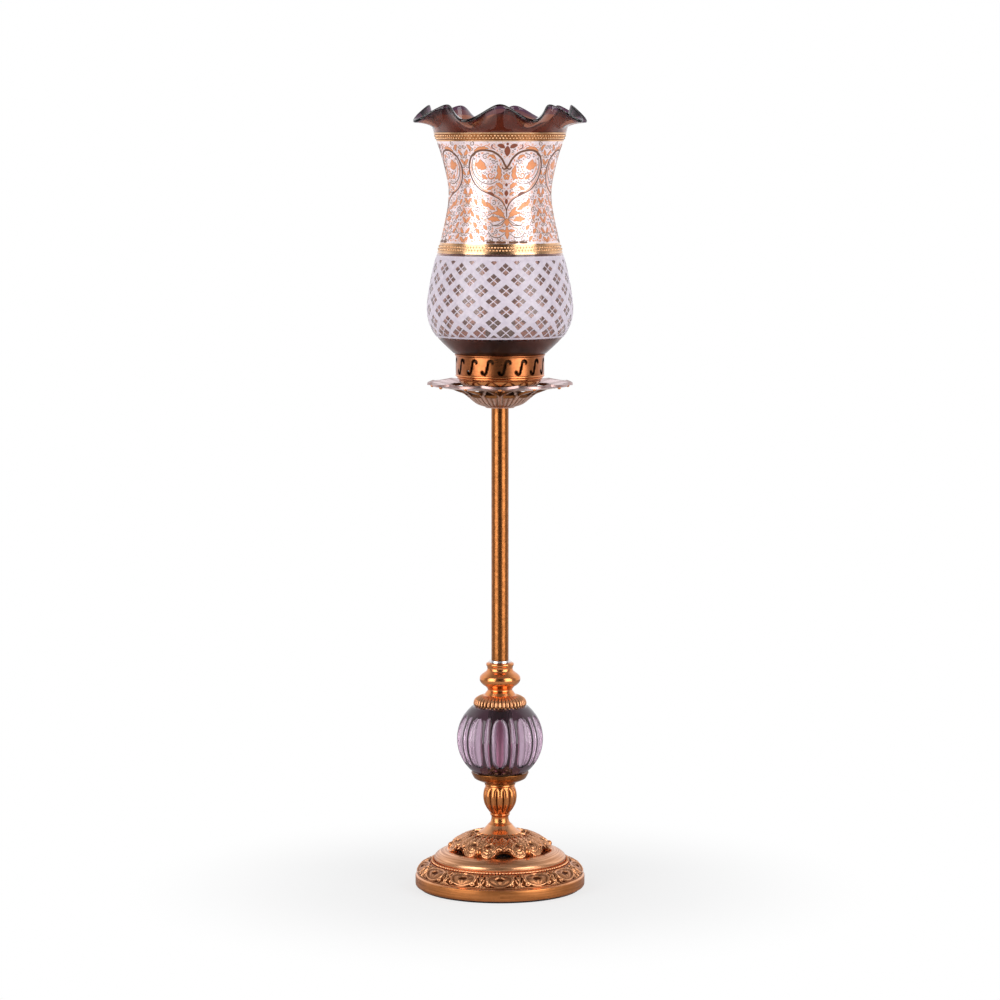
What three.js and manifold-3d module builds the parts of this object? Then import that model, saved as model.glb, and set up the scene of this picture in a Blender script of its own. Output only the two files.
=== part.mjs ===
// A tall candle lamp: a crystal hurricane shade on a cast and turned brass candlestick.
// Millimetres, +Z up, front towards -Y, origin at the centre of the underside.
// Every piece is threaded on one central rod, and the shade lifts off its gallery.
import * as THREE from "three";
import { mergeVertices } from "three/addons/utils/BufferGeometryUtils.js";
import Module from "manifold-3d";

const wasm = await Module();
wasm.setup();

// Clearances
const SEAT_GAP = 0.3; // between pieces that seat on carved or round faces
const ROD_CLEARANCE = 0.35; // between the rod and what is threaded on it
const SHADE_PLAY = 1.0; // between the shade's foot and the ring that centres it

// Central rod and the hardware in the foot
const ROD_RADIUS = 5;
const ROD_BELOW_NUT = 0.8;
const ROD_INTO_CANDLE_CUP = 16;
const NUT_ACROSS_FLATS = 17;
const NUT_HEIGHT = 6;
const LOCK_WASHER_RADIUS = 9;
const LOCK_WASHER_THICKNESS = 2.2;
const BIG_WASHER_RADIUS = 14;
const BIG_WASHER_THICKNESS = 1.6;
const RECESS_RADIUS = 16;

// Base: felt pad, plinth, bead wire, brushed step and leaf dome
const PAD_INSET = 3.5;
const PAD_THICKNESS = 1.5;
const PLINTH_RADIUS = 74;
const PLINTH_HEIGHT = 21.5;
const PLINTH_RIM_HEIGHT = 9.9;
const PLINTH_WALL = 5;
const RELIEF_COUNT = 13;
const RELIEF_DEPTH = 0.9;
const BEAD_RADIUS = 1.35;
const STEP_RADIUS = 57.5;
const STEP_HEIGHT = 10.5;
const STEP_WALL = 4;
const DOME_RADIUS = 44.2;
const DOME_HEIGHT = 22.1;
const DOME_WALL = 3.6;
const DOME_CONE_RADIUS = 19;
const DOME_CONE_HEIGHT = 6.9;
const LEAF_COUNT = 6;
const LEAF_CURL = 2;
const LEAF_ARCH_RISE = 4;
const LEAF_TURN = THREE.MathUtils.degToRad(4.5);
const BALLAST_GAP = 0.5;

// Knop and its neck
const KNOP_HEIGHT = 35.7;
const KNOP_RADIUS = 14.9;
const KNOP_FOOT_RADIUS = 10.4;
const KNOP_WAIST_RADIUS = 7.5;
const KNOP_TOP_RADIUS = 12.8;
const KNOP_FLUTES = 14;
const KNOP_FLUTE_DEPTH = 1.3;

// Crystal ball with its cup, gaskets, sleeve and ribbed collar
const BALL_RADIUS = 37.5;
const BALL_END_RADIUS = 24.5;
const BALL_FLUTES = 10;
const BALL_FLUTE_DEPTH = 1.7;
const NARROW_FLUTE_DEPTH = 0.7;
const SLEEVE_WALL = 1.6;
const GASKET_THICKNESS = 2;
const GASKET_RADIUS = 19;
const BALL_CUP_HEIGHT = 9.6;
const BALL_CUP_RADIUS = 25;
const BALL_CUP_LIP = 0.9;
const COLLAR_RADIUS = 23;
const COLLAR_HEIGHT = 10;
const COLLAR_RIBS = 28;
const COLLAR_RIB_DEPTH = 1.1;

// Baluster, silvered washer and stem tube
const BALUSTER_HEIGHT = 28.2;
const BALUSTER_RADIUS = 17.8;
const BALUSTER_FOOT_RADIUS = 13.6;
const BALUSTER_NECK_RADIUS = 10.7;
const BALUSTER_TOP_RADIUS = 12;
const STEM_WASHER_RADIUS = 9.3;
const STEM_WASHER_THICKNESS = 2.1;
const STEM_LENGTH = 220.2;
const STEM_RADIUS = 7.5;
const STEM_WALL = 1.2;
const STEM_BUSH_LENGTH = 8;

// Openwork saucer
const SAUCER_RADIUS = 63;
const SAUCER_HEIGHT = 22.2;
const SAUCER_WALL = 2;
const SAUCER_FLOOR = 3.6;
const SAUCER_FOOT_RADIUS = 13;
const SAUCER_BOWL_RADIUS = 37;
const SAUCER_BOWL_HEIGHT = 14.3;
const SAUCER_LOBES = 12;
const SAUCER_LOBE_DEPTH = 2.6;
const SAUCER_LOBE_DROP = 1.3;
const SAUCER_BAR = 1.8;

// Gallery that carries the shade
const SPACER_HEIGHT = 16;
const SPACER_RADIUS = 8.5;
const GALLERY_RADIUS = 38.2;
const GALLERY_HEIGHT = 27.4;
const GALLERY_FOOT_RADIUS = 30.5;
const GALLERY_WALL = 1.2;
const GALLERY_FLOOR = 1.4;
const GALLERY_COVE_HEIGHT = 7;
const GALLERY_SLOTS = 16;
const SLOT_TURN = 0.27; // of the step from slot to slot
const SLOT_HEIGHT = 12.8;
const SLOT_WIDTH = 11;
const SLOT_STROKE = 1.9;
const RING_WALL = 1.2;
const RING_ABOVE_SEAT = 9.3;
const RING_BELOW_SEAT = 7;

// Candle cup
const CANDLE_RADIUS = 11;
const CANDLE_PLAY = 0.25;
const CANDLE_CUP_WALL = 1.5;
const CANDLE_CUP_HEIGHT = 59;
const CANDLE_BORE_DEPTH = 21;
const CANDLE_LIP_RADIUS = 16.5;
const CANDLE_FOOT_RADIUS = 14;
const CANDLE_STEM_RADIUS = 7.5;

// Crystal shade
const SHADE_HEIGHT = 212.4;
const SHADE_WALL = 2.6;
const SHADE_FOOT_WALL = 2.8;
const SHADE_BELLY_RADIUS = 62.9;
const SHADE_BELLY_HEIGHT = 38.7;
const SHADE_WAIST_RADIUS = 44;
const SHADE_WAIST_HEIGHT = 134.8;
const SHADE_NECK_RADIUS = 57.2;
const SHADE_NECK_HEIGHT = 190;
const RIM_WAVES = 8;
const RIM_DRIFT = THREE.MathUtils.degToRad(12); // how far the waves at the back run ahead of the front ones
const RIM_CREST_RADIUS = 63;
const RIM_TROUGH_RADIUS = 77.5;
const RIM_TROUGH_DROP = 15;

// Heights where the pieces meet, from the table up
const padTop = PAD_THICKNESS;
const plinthTop = padTop + PLINTH_HEIGHT;
const stepTop = plinthTop + STEP_HEIGHT;
const domeTop = stepTop + DOME_HEIGHT;
const knopTop = domeTop + KNOP_HEIGHT;
const ballCupFloor = knopTop + BALL_CUP_HEIGHT;
const ballBottom = ballCupFloor + GASKET_THICKNESS;
const ballHalfHeight = Math.sqrt(BALL_RADIUS ** 2 - BALL_END_RADIUS ** 2);
const ballTop = ballBottom + 2 * ballHalfHeight;
const collarBottom = ballTop + SEAT_GAP;
const collarTop = collarBottom + COLLAR_HEIGHT;
const balusterTop = collarTop + BALUSTER_HEIGHT;
const stemBottom = balusterTop + STEM_WASHER_THICKNESS;
const stemTop = stemBottom + STEM_LENGTH;
const saucerFloorTop = stemTop + SAUCER_FLOOR;
const galleryBottom = saucerFloorTop + SPACER_HEIGHT;
const galleryFloorTop = galleryBottom + GALLERY_FLOOR;
const galleryTop = galleryBottom + GALLERY_HEIGHT;
const shadeBottom = galleryTop + SEAT_GAP;

// Radii that follow from the ones above
const boreRadius = ROD_RADIUS + ROD_CLEARANCE;
const sleeveRadius = boreRadius + SLEEVE_WALL;
const ballBoreRadius = sleeveRadius + SEAT_GAP;
const ringRadius = GALLERY_RADIUS - GALLERY_WALL - SHADE_PLAY + 0.2 * SHADE_PLAY;
const shadeFootRadius = ringRadius + SHADE_PLAY + SHADE_FOOT_WALL;
const candleBoreRadius = CANDLE_RADIUS + CANDLE_PLAY;

// Materials
const brass = (color, roughness) => new THREE.MeshStandardMaterial({ color, roughness, metalness: 1 });
const glass = (color) => new THREE.MeshStandardMaterial({ color, roughness: 0.05, metalness: 0 });
const CAST_BRASS = brass(0xb8763f, 0.32);
const BRUSHED_BRASS = brass(0xc08048, 0.38);
const TURNED_BRASS = brass(0xc77a3c, 0.18);
const AGED_BRASS = brass(0x96622c, 0.35);
const PALE_BRASS = brass(0xc99a78, 0.3);
const SILVERED = brass(0xd8d6d4, 0.2);
const STEEL = brass(0x9a9a9c, 0.35);
const IRON = brass(0x4a4a4c, 0.7);
const AMETHYST = glass(0x4a2f42);
const CORK = new THREE.MeshStandardMaterial({ color: 0x8a6a48, roughness: 0.95, metalness: 0 });
const FELT = new THREE.MeshStandardMaterial({ color: 0x2c2a2c, roughness: 1, metalness: 0 });

// Small drawing helpers
const mix = (a, b, share) => a + (b - a) * share;
const wave = (angle, count) => Math.cos(angle * count);

// Points of a smooth curve through the given ones.
function smooth(points, steps) {
  const curve = new THREE.SplineCurve(points.map(([r, z]) => new THREE.Vector2(r, z)));
  return curve.getPoints(steps).map((p) => [p.x, p.y]);
}

// Points of a round stretch about a centre, angles in degrees.
function arc(centreR, centreZ, radius, from, to, steps) {
  return Array.from({ length: steps + 1 }, (_, i) => {
    const angle = THREE.MathUtils.degToRad(mix(from, to, i / steps));
    return [centreR + radius * Math.cos(angle), centreZ + radius * Math.sin(angle)];
  });
}

// Twice the area inside a closed outline, positive if it runs anticlockwise.
function turningOf(outline) {
  return outline.reduce((sum, [r, z], i) => {
    const [nextR, nextZ] = outline[(i + 1) % outline.length];
    return sum + r * nextZ - nextR * z;
  }, 0);
}

// A closed outline of [radius, height] turned about +Z. Angle 0 is the front. carve moves each point.
function turned(outline, sides, carve) {
  const ordered = turningOf(outline) > 0 ? outline : [...outline].reverse();
  const points = [...ordered, ordered[0]].map(([r, z]) => new THREE.Vector2(r, z));
  const geometry = new THREE.LatheGeometry(points, sides).rotateX(Math.PI / 2);
  if (!carve) return geometry;
  const position = geometry.attributes.position;
  for (let i = 0; i < position.count; i += 1) {
    const angle = Math.atan2(position.getX(i), -position.getY(i));
    const radius = Math.hypot(position.getX(i), position.getY(i));
    const [r, z] = carve(radius, position.getZ(i), angle);
    position.setXYZ(i, r * Math.sin(angle), -r * Math.cos(angle), z);
  }
  geometry.computeVertexNormals();
  return geometry;
}

// A plain ring or tube between two radii and two heights.
function ring(inner, outer, bottom, top, sides) {
  return turned([[inner, bottom], [outer, bottom], [outer, top], [inner, top]], sides);
}

// A three.js geometry as a solid that can be joined and cut.
function solidOf(geometry) {
  const bare = geometry.index ? geometry.toNonIndexed() : geometry.clone();
  bare.deleteAttribute("normal");
  bare.deleteAttribute("uv");
  const merged = mergeVertices(bare, 1e-3);
  const vertProperties = merged.attributes.position.array;
  const triVerts = new Uint32Array(merged.index.array);
  return new wasm.Manifold(new wasm.Mesh({ numProp: 3, vertProperties, triVerts }));
}

// A solid as a three.js geometry again.
function geometryOf(solid) {
  const mesh = solid.getMesh();
  const geometry = new THREE.BufferGeometry();
  geometry.setAttribute("position", new THREE.BufferAttribute(mesh.vertProperties, mesh.numProp));
  geometry.setIndex(new THREE.BufferAttribute(mesh.triVerts, 1));
  geometry.computeVertexNormals();
  return geometry;
}

// The same cutter set round the axis.
function around(cutter, count, offset = 0) {
  const step = (2 * Math.PI) / count;
  return Array.from({ length: count }, (_, i) => solidOf(cutter.clone().rotateZ((i + offset) * step)));
}

const lamp = new THREE.Group();
function add(name, geometry, material, owner = lamp) {
  const mesh = new THREE.Mesh(geometry, material);
  mesh.name = name;
  owner.add(mesh);
}

// Felt pad under the whole foot
function feltPad() {
  const radius = PLINTH_RADIUS - PAD_INSET;
  return new THREE.CylinderGeometry(radius, radius, PAD_THICKNESS, 40)
    .rotateX(Math.PI / 2)
    .translate(0, 0, PAD_THICKNESS / 2);
}

// Plinth: a rim band below a rounded frieze of cartouches, with a groove for the bead wire
const rimTop = padTop + PLINTH_RIM_HEIGHT;
const beadCentreRadius = STEP_RADIUS + BEAD_RADIUS + SEAT_GAP;
const beadGrooveDepth = 0.9;
const beadGrooveZ = plinthTop - beadGrooveDepth;
const friezeInnerRadius = beadCentreRadius + BEAD_RADIUS;
const plinthHoleRadius = STEP_RADIUS - 2 * STEP_WALL;
const plinthInnerRadius = PLINTH_RADIUS - PLINTH_WALL;
const shoulderZ = rimTop - 0.4;
function plinth() {
  const friezeWidth = PLINTH_RADIUS - friezeInnerRadius;
  const friezeRise = beadGrooveZ - rimTop;
  const frieze = smooth(
    [
      [PLINTH_RADIUS - 0.1 * friezeWidth, rimTop + 0.1 * friezeRise],
      [PLINTH_RADIUS - 0.18 * friezeWidth, rimTop + 0.42 * friezeRise],
      [PLINTH_RADIUS - 0.46 * friezeWidth, rimTop + 0.8 * friezeRise],
      [friezeInnerRadius, beadGrooveZ + 0.3],
    ],
    3,
  );
  const outline = [
    [PLINTH_RADIUS - 2.6, padTop],
    [PLINTH_RADIUS, padTop + 2.4],
    [PLINTH_RADIUS, rimTop - 0.8],
    [PLINTH_RADIUS - 0.8, rimTop],
    ...frieze,
    [friezeInnerRadius - 0.2, beadGrooveZ],
    [STEP_RADIUS, beadGrooveZ],
    [STEP_RADIUS - SEAT_GAP, plinthTop],
    [plinthHoleRadius, plinthTop],
    [plinthHoleRadius, plinthTop - 3],
    [plinthInnerRadius - 6, shoulderZ],
    [plinthInnerRadius, shoulderZ],
    [plinthInnerRadius, padTop],
  ];
  const carve = (r, z, angle) => {
    const onFrieze = r > friezeInnerRadius + 0.5 && z > rimTop + 0.2;
    if (!onFrieze) return [r, z];
    const share = Math.sin((Math.PI * (z - rimTop)) / friezeRise);
    const scallop = Math.abs(Math.sin((angle * RELIEF_COUNT) / 2)) - 0.5;
    const depth = RELIEF_DEPTH * Math.max(0, share) * -scallop;
    return [r + depth * 0.6, z + depth * 0.8];
  };
  return turned(outline, RELIEF_COUNT * 3, carve);
}

// Bead wire laid in its groove round the step
function beadWire() {
  return turned(arc(beadCentreRadius, beadGrooveZ + BEAD_RADIUS, BEAD_RADIUS, 0, 300, 5), 36);
}

// Brushed step: a rounded ring between the plinth and the dome
const stepHoleRadius = DOME_RADIUS - 2 * DOME_WALL;
function step() {
  const crown = smooth(
    [
      [STEP_RADIUS, plinthTop + 0.38 * STEP_HEIGHT],
      [mix(STEP_RADIUS, DOME_RADIUS, 0.18), plinthTop + 0.65 * STEP_HEIGHT],
      [mix(STEP_RADIUS, DOME_RADIUS, 0.48), plinthTop + 0.87 * STEP_HEIGHT],
      [mix(STEP_RADIUS, DOME_RADIUS, 0.82), stepTop],
    ],
    3,
  );
  const outline = [
    [STEP_RADIUS, plinthTop],
    ...crown,
    [stepHoleRadius, stepTop],
    [stepHoleRadius, stepTop - STEP_WALL / 2],
    [STEP_RADIUS - STEP_WALL - 4, stepTop - STEP_WALL],
    [STEP_RADIUS - STEP_WALL, plinthTop + 0.3 * STEP_HEIGHT],
    [STEP_RADIUS - STEP_WALL, plinthTop],
  ];
  return turned(outline, 36);
}

// Leaf dome: six leaf units whose lower edge curls out at the volutes and arches between them
const domeCaseHeight = DOME_HEIGHT - DOME_CONE_HEIGHT;
const domeConeZ = stepTop + domeCaseHeight;
const domeInnerRadius = DOME_RADIUS - DOME_WALL;
function dome() {
  const skin = smooth(
    [
      [DOME_RADIUS, stepTop],
      [DOME_RADIUS - 0.3, stepTop + 0.16 * domeCaseHeight],
      [mix(DOME_RADIUS, DOME_CONE_RADIUS, 0.16), stepTop + 0.47 * domeCaseHeight],
      [mix(DOME_RADIUS, DOME_CONE_RADIUS, 0.55), stepTop + 0.83 * domeCaseHeight],
      [DOME_CONE_RADIUS, domeConeZ],
    ],
    4,
  );
  const cone = smooth(
    [
      [DOME_CONE_RADIUS - 0.8, domeConeZ + 0.3],
      [mix(DOME_CONE_RADIUS, KNOP_FOOT_RADIUS, 0.6), domeConeZ + 0.45 * DOME_CONE_HEIGHT],
      [KNOP_FOOT_RADIUS, domeTop],
    ],
    2,
  );
  const outline = [
    ...skin,
    ...cone,
    [boreRadius, domeTop],
    [boreRadius, domeTop - 2 * DOME_WALL],
    [DOME_CONE_RADIUS, domeConeZ - DOME_WALL],
    [mix(domeInnerRadius, DOME_CONE_RADIUS, 0.25), stepTop + 0.45 * domeCaseHeight],
    [domeInnerRadius, stepTop],
  ];
  const arched = DOME_RADIUS + 0.5;
  const carve = (r, z, angle) => {
    const onSkirt = r > domeInnerRadius + 0.5 && z < stepTop + 0.3 * domeCaseHeight;
    if (!onSkirt) return [r, z];
    const lift = Math.max(0, wave(angle, LEAF_COUNT)) ** 2;
    const volute = Math.max(0, 0.6 - Math.abs(wave(angle, LEAF_COUNT)));
    const curled = Math.min(arched, r) + LEAF_CURL * volute;
    const foot = z < stepTop + 0.1;
    return [curled, foot ? z + LEAF_ARCH_RISE * lift : z + 0.2 * LEAF_ARCH_RISE * lift];
  };
  return turned(outline, LEAF_COUNT * 8, carve).rotateZ(LEAF_TURN);
}

// Ballast that fills the foot from below, with a recess for the nut
const ballastBottom = padTop + SEAT_GAP;
const recessTop = ballastBottom + ROD_BELOW_NUT + NUT_HEIGHT + LOCK_WASHER_THICKNESS + BIG_WASHER_THICKNESS;
function ballast() {
  const inStep = plinthHoleRadius - BALLAST_GAP;
  const inDome = stepHoleRadius - BALLAST_GAP;
  const domeUnder = domeConeZ - DOME_WALL - BALLAST_GAP;
  return turned(
    [
      [RECESS_RADIUS, ballastBottom],
      [plinthInnerRadius - BALLAST_GAP, ballastBottom],
      [plinthInnerRadius - BALLAST_GAP, shoulderZ - SEAT_GAP],
      [plinthInnerRadius - 6 - BALLAST_GAP, shoulderZ - SEAT_GAP],
      [inStep, plinthTop - 3 - BALLAST_GAP],
      [inStep, plinthTop + 0.3 * STEP_HEIGHT],
      [inDome, stepTop - STEP_WALL - BALLAST_GAP],
      [inDome, stepTop],
      [mix(inDome, DOME_CONE_RADIUS, 0.25), stepTop + 0.3 * domeCaseHeight],
      [DOME_CONE_RADIUS - 2, domeUnder - 1.5],
      [boreRadius, domeUnder - 1.5],
      [boreRadius, recessTop],
      [RECESS_RADIUS, recessTop],
    ],
    20,
  );
}

// Rod, nut and washers
const bigWasherBottom = recessTop - BIG_WASHER_THICKNESS;
const lockWasherBottom = bigWasherBottom - LOCK_WASHER_THICKNESS;
const nutBottom = lockWasherBottom - NUT_HEIGHT;
const rodBottom = nutBottom - ROD_BELOW_NUT;
function rod() {
  const length = galleryFloorTop + ROD_INTO_CANDLE_CUP - rodBottom;
  return new THREE.CylinderGeometry(ROD_RADIUS, ROD_RADIUS, length, 12)
    .rotateX(Math.PI / 2)
    .translate(0, 0, rodBottom + length / 2);
}
function hexNut() {
  const corner = NUT_ACROSS_FLATS / Math.sqrt(3);
  const corners = Array.from({ length: 6 }, (_, i) => {
    const angle = (i * Math.PI) / 3;
    return new THREE.Vector2(corner * Math.cos(angle), corner * Math.sin(angle));
  });
  const shape = new THREE.Shape(corners);
  shape.holes.push(new THREE.Path().absarc(0, 0, boreRadius, 0, 2 * Math.PI, true));
  return new THREE.ExtrudeGeometry(shape, { depth: NUT_HEIGHT, bevelEnabled: false, curveSegments: 8 })
    .translate(0, 0, nutBottom);
}

// Knop: a fluted bulb over a turned neck
function knop() {
  const bulbBottom = domeTop + 0.31 * KNOP_HEIGHT;
  const bulbTop = domeTop + 0.92 * KNOP_HEIGHT;
  const neck = smooth(
    [
      [KNOP_FOOT_RADIUS, domeTop],
      [mix(KNOP_WAIST_RADIUS, KNOP_FOOT_RADIUS, 0.28), domeTop + 0.06 * KNOP_HEIGHT],
      [KNOP_WAIST_RADIUS, domeTop + 0.15 * KNOP_HEIGHT],
      [KNOP_WAIST_RADIUS + 1, domeTop + 0.24 * KNOP_HEIGHT],
    ],
    4,
  );
  const bulb = smooth(
    [
      [KNOP_WAIST_RADIUS + 2.4, bulbBottom],
      [mix(KNOP_WAIST_RADIUS, KNOP_RADIUS, 0.84), mix(bulbBottom, bulbTop, 0.28)],
      [KNOP_RADIUS, mix(bulbBottom, bulbTop, 0.62)],
      [KNOP_TOP_RADIUS + 0.2, bulbTop],
    ],
    5,
  );
  const carve = (r, z, angle) => {
    const share = (z - bulbBottom) / (bulbTop - bulbBottom);
    if (r < boreRadius + 0.1 || share <= 0 || share >= 1) return [r, z];
    const depth = KNOP_FLUTE_DEPTH * Math.sin(Math.PI * share) ** 0.5;
    return [r - depth * (0.5 - 0.5 * wave(angle, KNOP_FLUTES)), z];
  };
  const outline = [
    ...neck,
    ...bulb,
    [KNOP_TOP_RADIUS, bulbTop + 1],
    [KNOP_TOP_RADIUS, knopTop],
    [boreRadius, knopTop],
    [boreRadius, domeTop],
  ];
  return turned(outline, KNOP_FLUTES * 2, carve);
}

// Cup under the ball: a shallow dish with a lip
function ballCup() {
  const under = smooth(
    [
      [KNOP_TOP_RADIUS + 0.5, knopTop],
      [mix(KNOP_TOP_RADIUS, BALL_CUP_RADIUS, 0.4), knopTop + 0.27 * BALL_CUP_HEIGHT],
      [mix(KNOP_TOP_RADIUS, BALL_CUP_RADIUS, 0.84), knopTop + 0.66 * BALL_CUP_HEIGHT],
      [BALL_CUP_RADIUS - 0.4, ballCupFloor],
    ],
    4,
  );
  const outline = [
    ...under,
    [BALL_CUP_RADIUS, ballCupFloor + BALL_CUP_LIP],
    [BALL_CUP_RADIUS - 0.7, ballCupFloor + BALL_CUP_LIP],
    [GASKET_RADIUS + 1, ballCupFloor],
    [boreRadius, ballCupFloor],
    [boreRadius, knopTop],
  ];
  return turned(outline, 28);
}

// Crystal ball: ten wide flutes with round ends, and a narrow flute between each two
const ballCentre = ballBottom + ballHalfHeight;
function crystalBall() {
  const endAngle = THREE.MathUtils.radToDeg(Math.asin(ballHalfHeight / BALL_RADIUS));
  const outline = [
    ...arc(0, ballCentre, BALL_RADIUS, -endAngle, endAngle, 8),
    [ballBoreRadius, ballTop],
    [ballBoreRadius, ballBottom],
  ];
  const carve = (r, z, angle) => {
    if (r < ballBoreRadius + 0.1) return [r, z];
    const height = (z - ballCentre) / ballHalfHeight;
    const fade = Math.max(0, 1 - height ** 4 * 2.6);
    const cut = Math.max(0, 0.4 + wave(angle, BALL_FLUTES)) / 1.4;
    const narrowCut = Math.max(0, -0.75 - wave(angle, BALL_FLUTES)) / 0.25;
    return [r - fade * (BALL_FLUTE_DEPTH * Math.sqrt(cut) + NARROW_FLUTE_DEPTH * narrowCut), z];
  };
  return turned(outline, BALL_FLUTES * 8, carve);
}

// Ribbed collar over the ball, recessed for its gasket
const collarRecessTop = ballTop + GASKET_THICKNESS;
function collar() {
  const crown = smooth(
    [
      [COLLAR_RADIUS - 1.2, collarBottom],
      [COLLAR_RADIUS, collarBottom + 0.36 * COLLAR_HEIGHT],
      [COLLAR_RADIUS - 1.2, collarBottom + 0.62 * COLLAR_HEIGHT],
      [mix(COLLAR_RADIUS, BALUSTER_FOOT_RADIUS, 0.5), collarBottom + 0.86 * COLLAR_HEIGHT],
      [BALUSTER_FOOT_RADIUS + 0.6, collarTop],
    ],
    4,
  );
  const carve = (r, z, angle) => {
    const share = (r - BALUSTER_FOOT_RADIUS - 1) / (COLLAR_RADIUS - BALUSTER_FOOT_RADIUS);
    const inRecess = r < GASKET_RADIUS + 2 * SEAT_GAP && z < collarRecessTop + SEAT_GAP;
    if (inRecess || share <= 0 || z < collarBottom + 0.5 || z > collarTop - 0.5) return [r, z];
    const depth = COLLAR_RIB_DEPTH * Math.sqrt(share) * (0.5 - 0.5 * wave(angle, COLLAR_RIBS));
    return [r - 0.7 * depth, z - 0.7 * depth];
  };
  const outline = [
    ...crown,
    [boreRadius, collarTop],
    [boreRadius, collarRecessTop],
    [GASKET_RADIUS + SEAT_GAP, collarRecessTop],
    [GASKET_RADIUS + SEAT_GAP, collarBottom],
  ];
  return turned(outline, COLLAR_RIBS * 2, carve);
}

// Turned baluster with one round bulge
function baluster() {
  const at = (share) => collarTop + share * BALUSTER_HEIGHT;
  const side = smooth(
    [
      [BALUSTER_FOOT_RADIUS, at(0)],
      [mix(BALUSTER_NECK_RADIUS, BALUSTER_FOOT_RADIUS, 0.5), at(0.08)],
      [BALUSTER_NECK_RADIUS, at(0.16)],
      [mix(BALUSTER_NECK_RADIUS, BALUSTER_RADIUS, 0.24), at(0.25)],
      [mix(BALUSTER_NECK_RADIUS, BALUSTER_RADIUS, 0.62), at(0.32)],
      [mix(BALUSTER_NECK_RADIUS, BALUSTER_RADIUS, 0.9), at(0.4)],
      [BALUSTER_RADIUS, at(0.49)],
      [mix(BALUSTER_NECK_RADIUS, BALUSTER_RADIUS, 0.9), at(0.58)],
      [mix(BALUSTER_NECK_RADIUS, BALUSTER_RADIUS, 0.58), at(0.66)],
      [mix(BALUSTER_NECK_RADIUS, BALUSTER_RADIUS, 0.2), at(0.73)],
      [mix(BALUSTER_NECK_RADIUS, BALUSTER_RADIUS, 0.06), at(0.8)],
      [mix(BALUSTER_NECK_RADIUS, BALUSTER_RADIUS, 0.08), at(0.87)],
    ],
    10,
  );
  const outline = [
    ...side,
    [BALUSTER_TOP_RADIUS, at(0.92)],
    [BALUSTER_TOP_RADIUS, at(0.97)],
    [BALUSTER_TOP_RADIUS - 1, balusterTop],
    [boreRadius, balusterTop],
    [boreRadius, collarTop],
  ];
  return turned(outline, 28);
}

// Openwork saucer: a pierced bowl with a lobed flange
const saucerRimZ = stemTop + SAUCER_HEIGHT;
const bowlRimZ = stemTop + SAUCER_BOWL_HEIGHT;
function saucer() {
  const bowl = smooth(
    [
      [SAUCER_FOOT_RADIUS, stemTop + 0.8],
      [mix(SAUCER_FOOT_RADIUS, SAUCER_BOWL_RADIUS, 0.32), stemTop + 0.25 * SAUCER_BOWL_HEIGHT],
      [mix(SAUCER_FOOT_RADIUS, SAUCER_BOWL_RADIUS, 0.72), stemTop + 0.78 * SAUCER_BOWL_HEIGHT],
      [SAUCER_BOWL_RADIUS, bowlRimZ],
    ],
    4,
  );
  const flange = smooth(
    [
      [mix(SAUCER_BOWL_RADIUS, SAUCER_RADIUS, 0.3), mix(bowlRimZ, saucerRimZ, 0.36)],
      [mix(SAUCER_BOWL_RADIUS, SAUCER_RADIUS, 0.75), mix(bowlRimZ, saucerRimZ, 0.68)],
      [SAUCER_RADIUS, saucerRimZ - SAUCER_WALL * 0.6],
    ],
    2,
  );
  const under = [...bowl, ...flange];
  const over = under
    .slice(1)
    .reverse()
    .map(([r, z]) => [r - 0.3, z + SAUCER_WALL]);
  const outline = [
    [SAUCER_FOOT_RADIUS - 0.6, stemTop],
    ...under,
    ...over,
    [SAUCER_FOOT_RADIUS - 2, saucerFloorTop],
    [boreRadius, saucerFloorTop],
    [boreRadius, stemTop],
  ];
  const carve = (r, z, angle) => {
    const share = (r - SAUCER_BOWL_RADIUS) / (SAUCER_RADIUS - SAUCER_BOWL_RADIUS);
    if (share <= 0) return [r, z];
    const lobe = 1 - Math.abs(Math.cos((angle * SAUCER_LOBES) / 2));
    return [r - SAUCER_LOBE_DEPTH * share ** 3 * lobe, z - SAUCER_LOBE_DROP * share ** 3 * (1 - lobe)];
  };
  const body = solidOf(turned(outline, SAUCER_LOBES * 3, carve));
  const [pointingIn, pointingOut] = saucerWindows();
  const windows = [...around(pointingIn, SAUCER_LOBES), ...around(pointingOut, SAUCER_LOBES, 0.5)];
  return geometryOf(body.subtract(wasm.Manifold.union(windows)));
}

// Two windows of the bowl's zigzag tracery, drawn in plan at the front and cut straight down
function saucerWindows() {
  const inner = mix(SAUCER_FOOT_RADIUS, SAUCER_BOWL_RADIUS, 0.47);
  const outer = SAUCER_BOWL_RADIUS - 2.4;
  const half = Math.PI / SAUCER_LOBES;
  const wide = outer * Math.sin(half) - SAUCER_BAR;
  const narrow = inner * Math.sin(half) - SAUCER_BAR;
  const kite = [[0, -inner - 1.6 * SAUCER_BAR], [-wide, -outer * Math.cos(half)], [0, -outer]];
  const plans = [
    [...kite, [wide, -outer * Math.cos(half)]],
    [[0, -outer + 1.6 * SAUCER_BAR], [narrow, -inner], [-narrow, -inner]],
  ];
  const depth = saucerRimZ - saucerFloorTop;
  return plans.map((corners) => {
    const plan = new THREE.Shape(corners.map(([x, y]) => new THREE.Vector2(x, y)));
    return new THREE.ExtrudeGeometry(plan, { depth, bevelEnabled: false }).translate(0, 0, saucerFloorTop + 0.4);
  });
}

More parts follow.
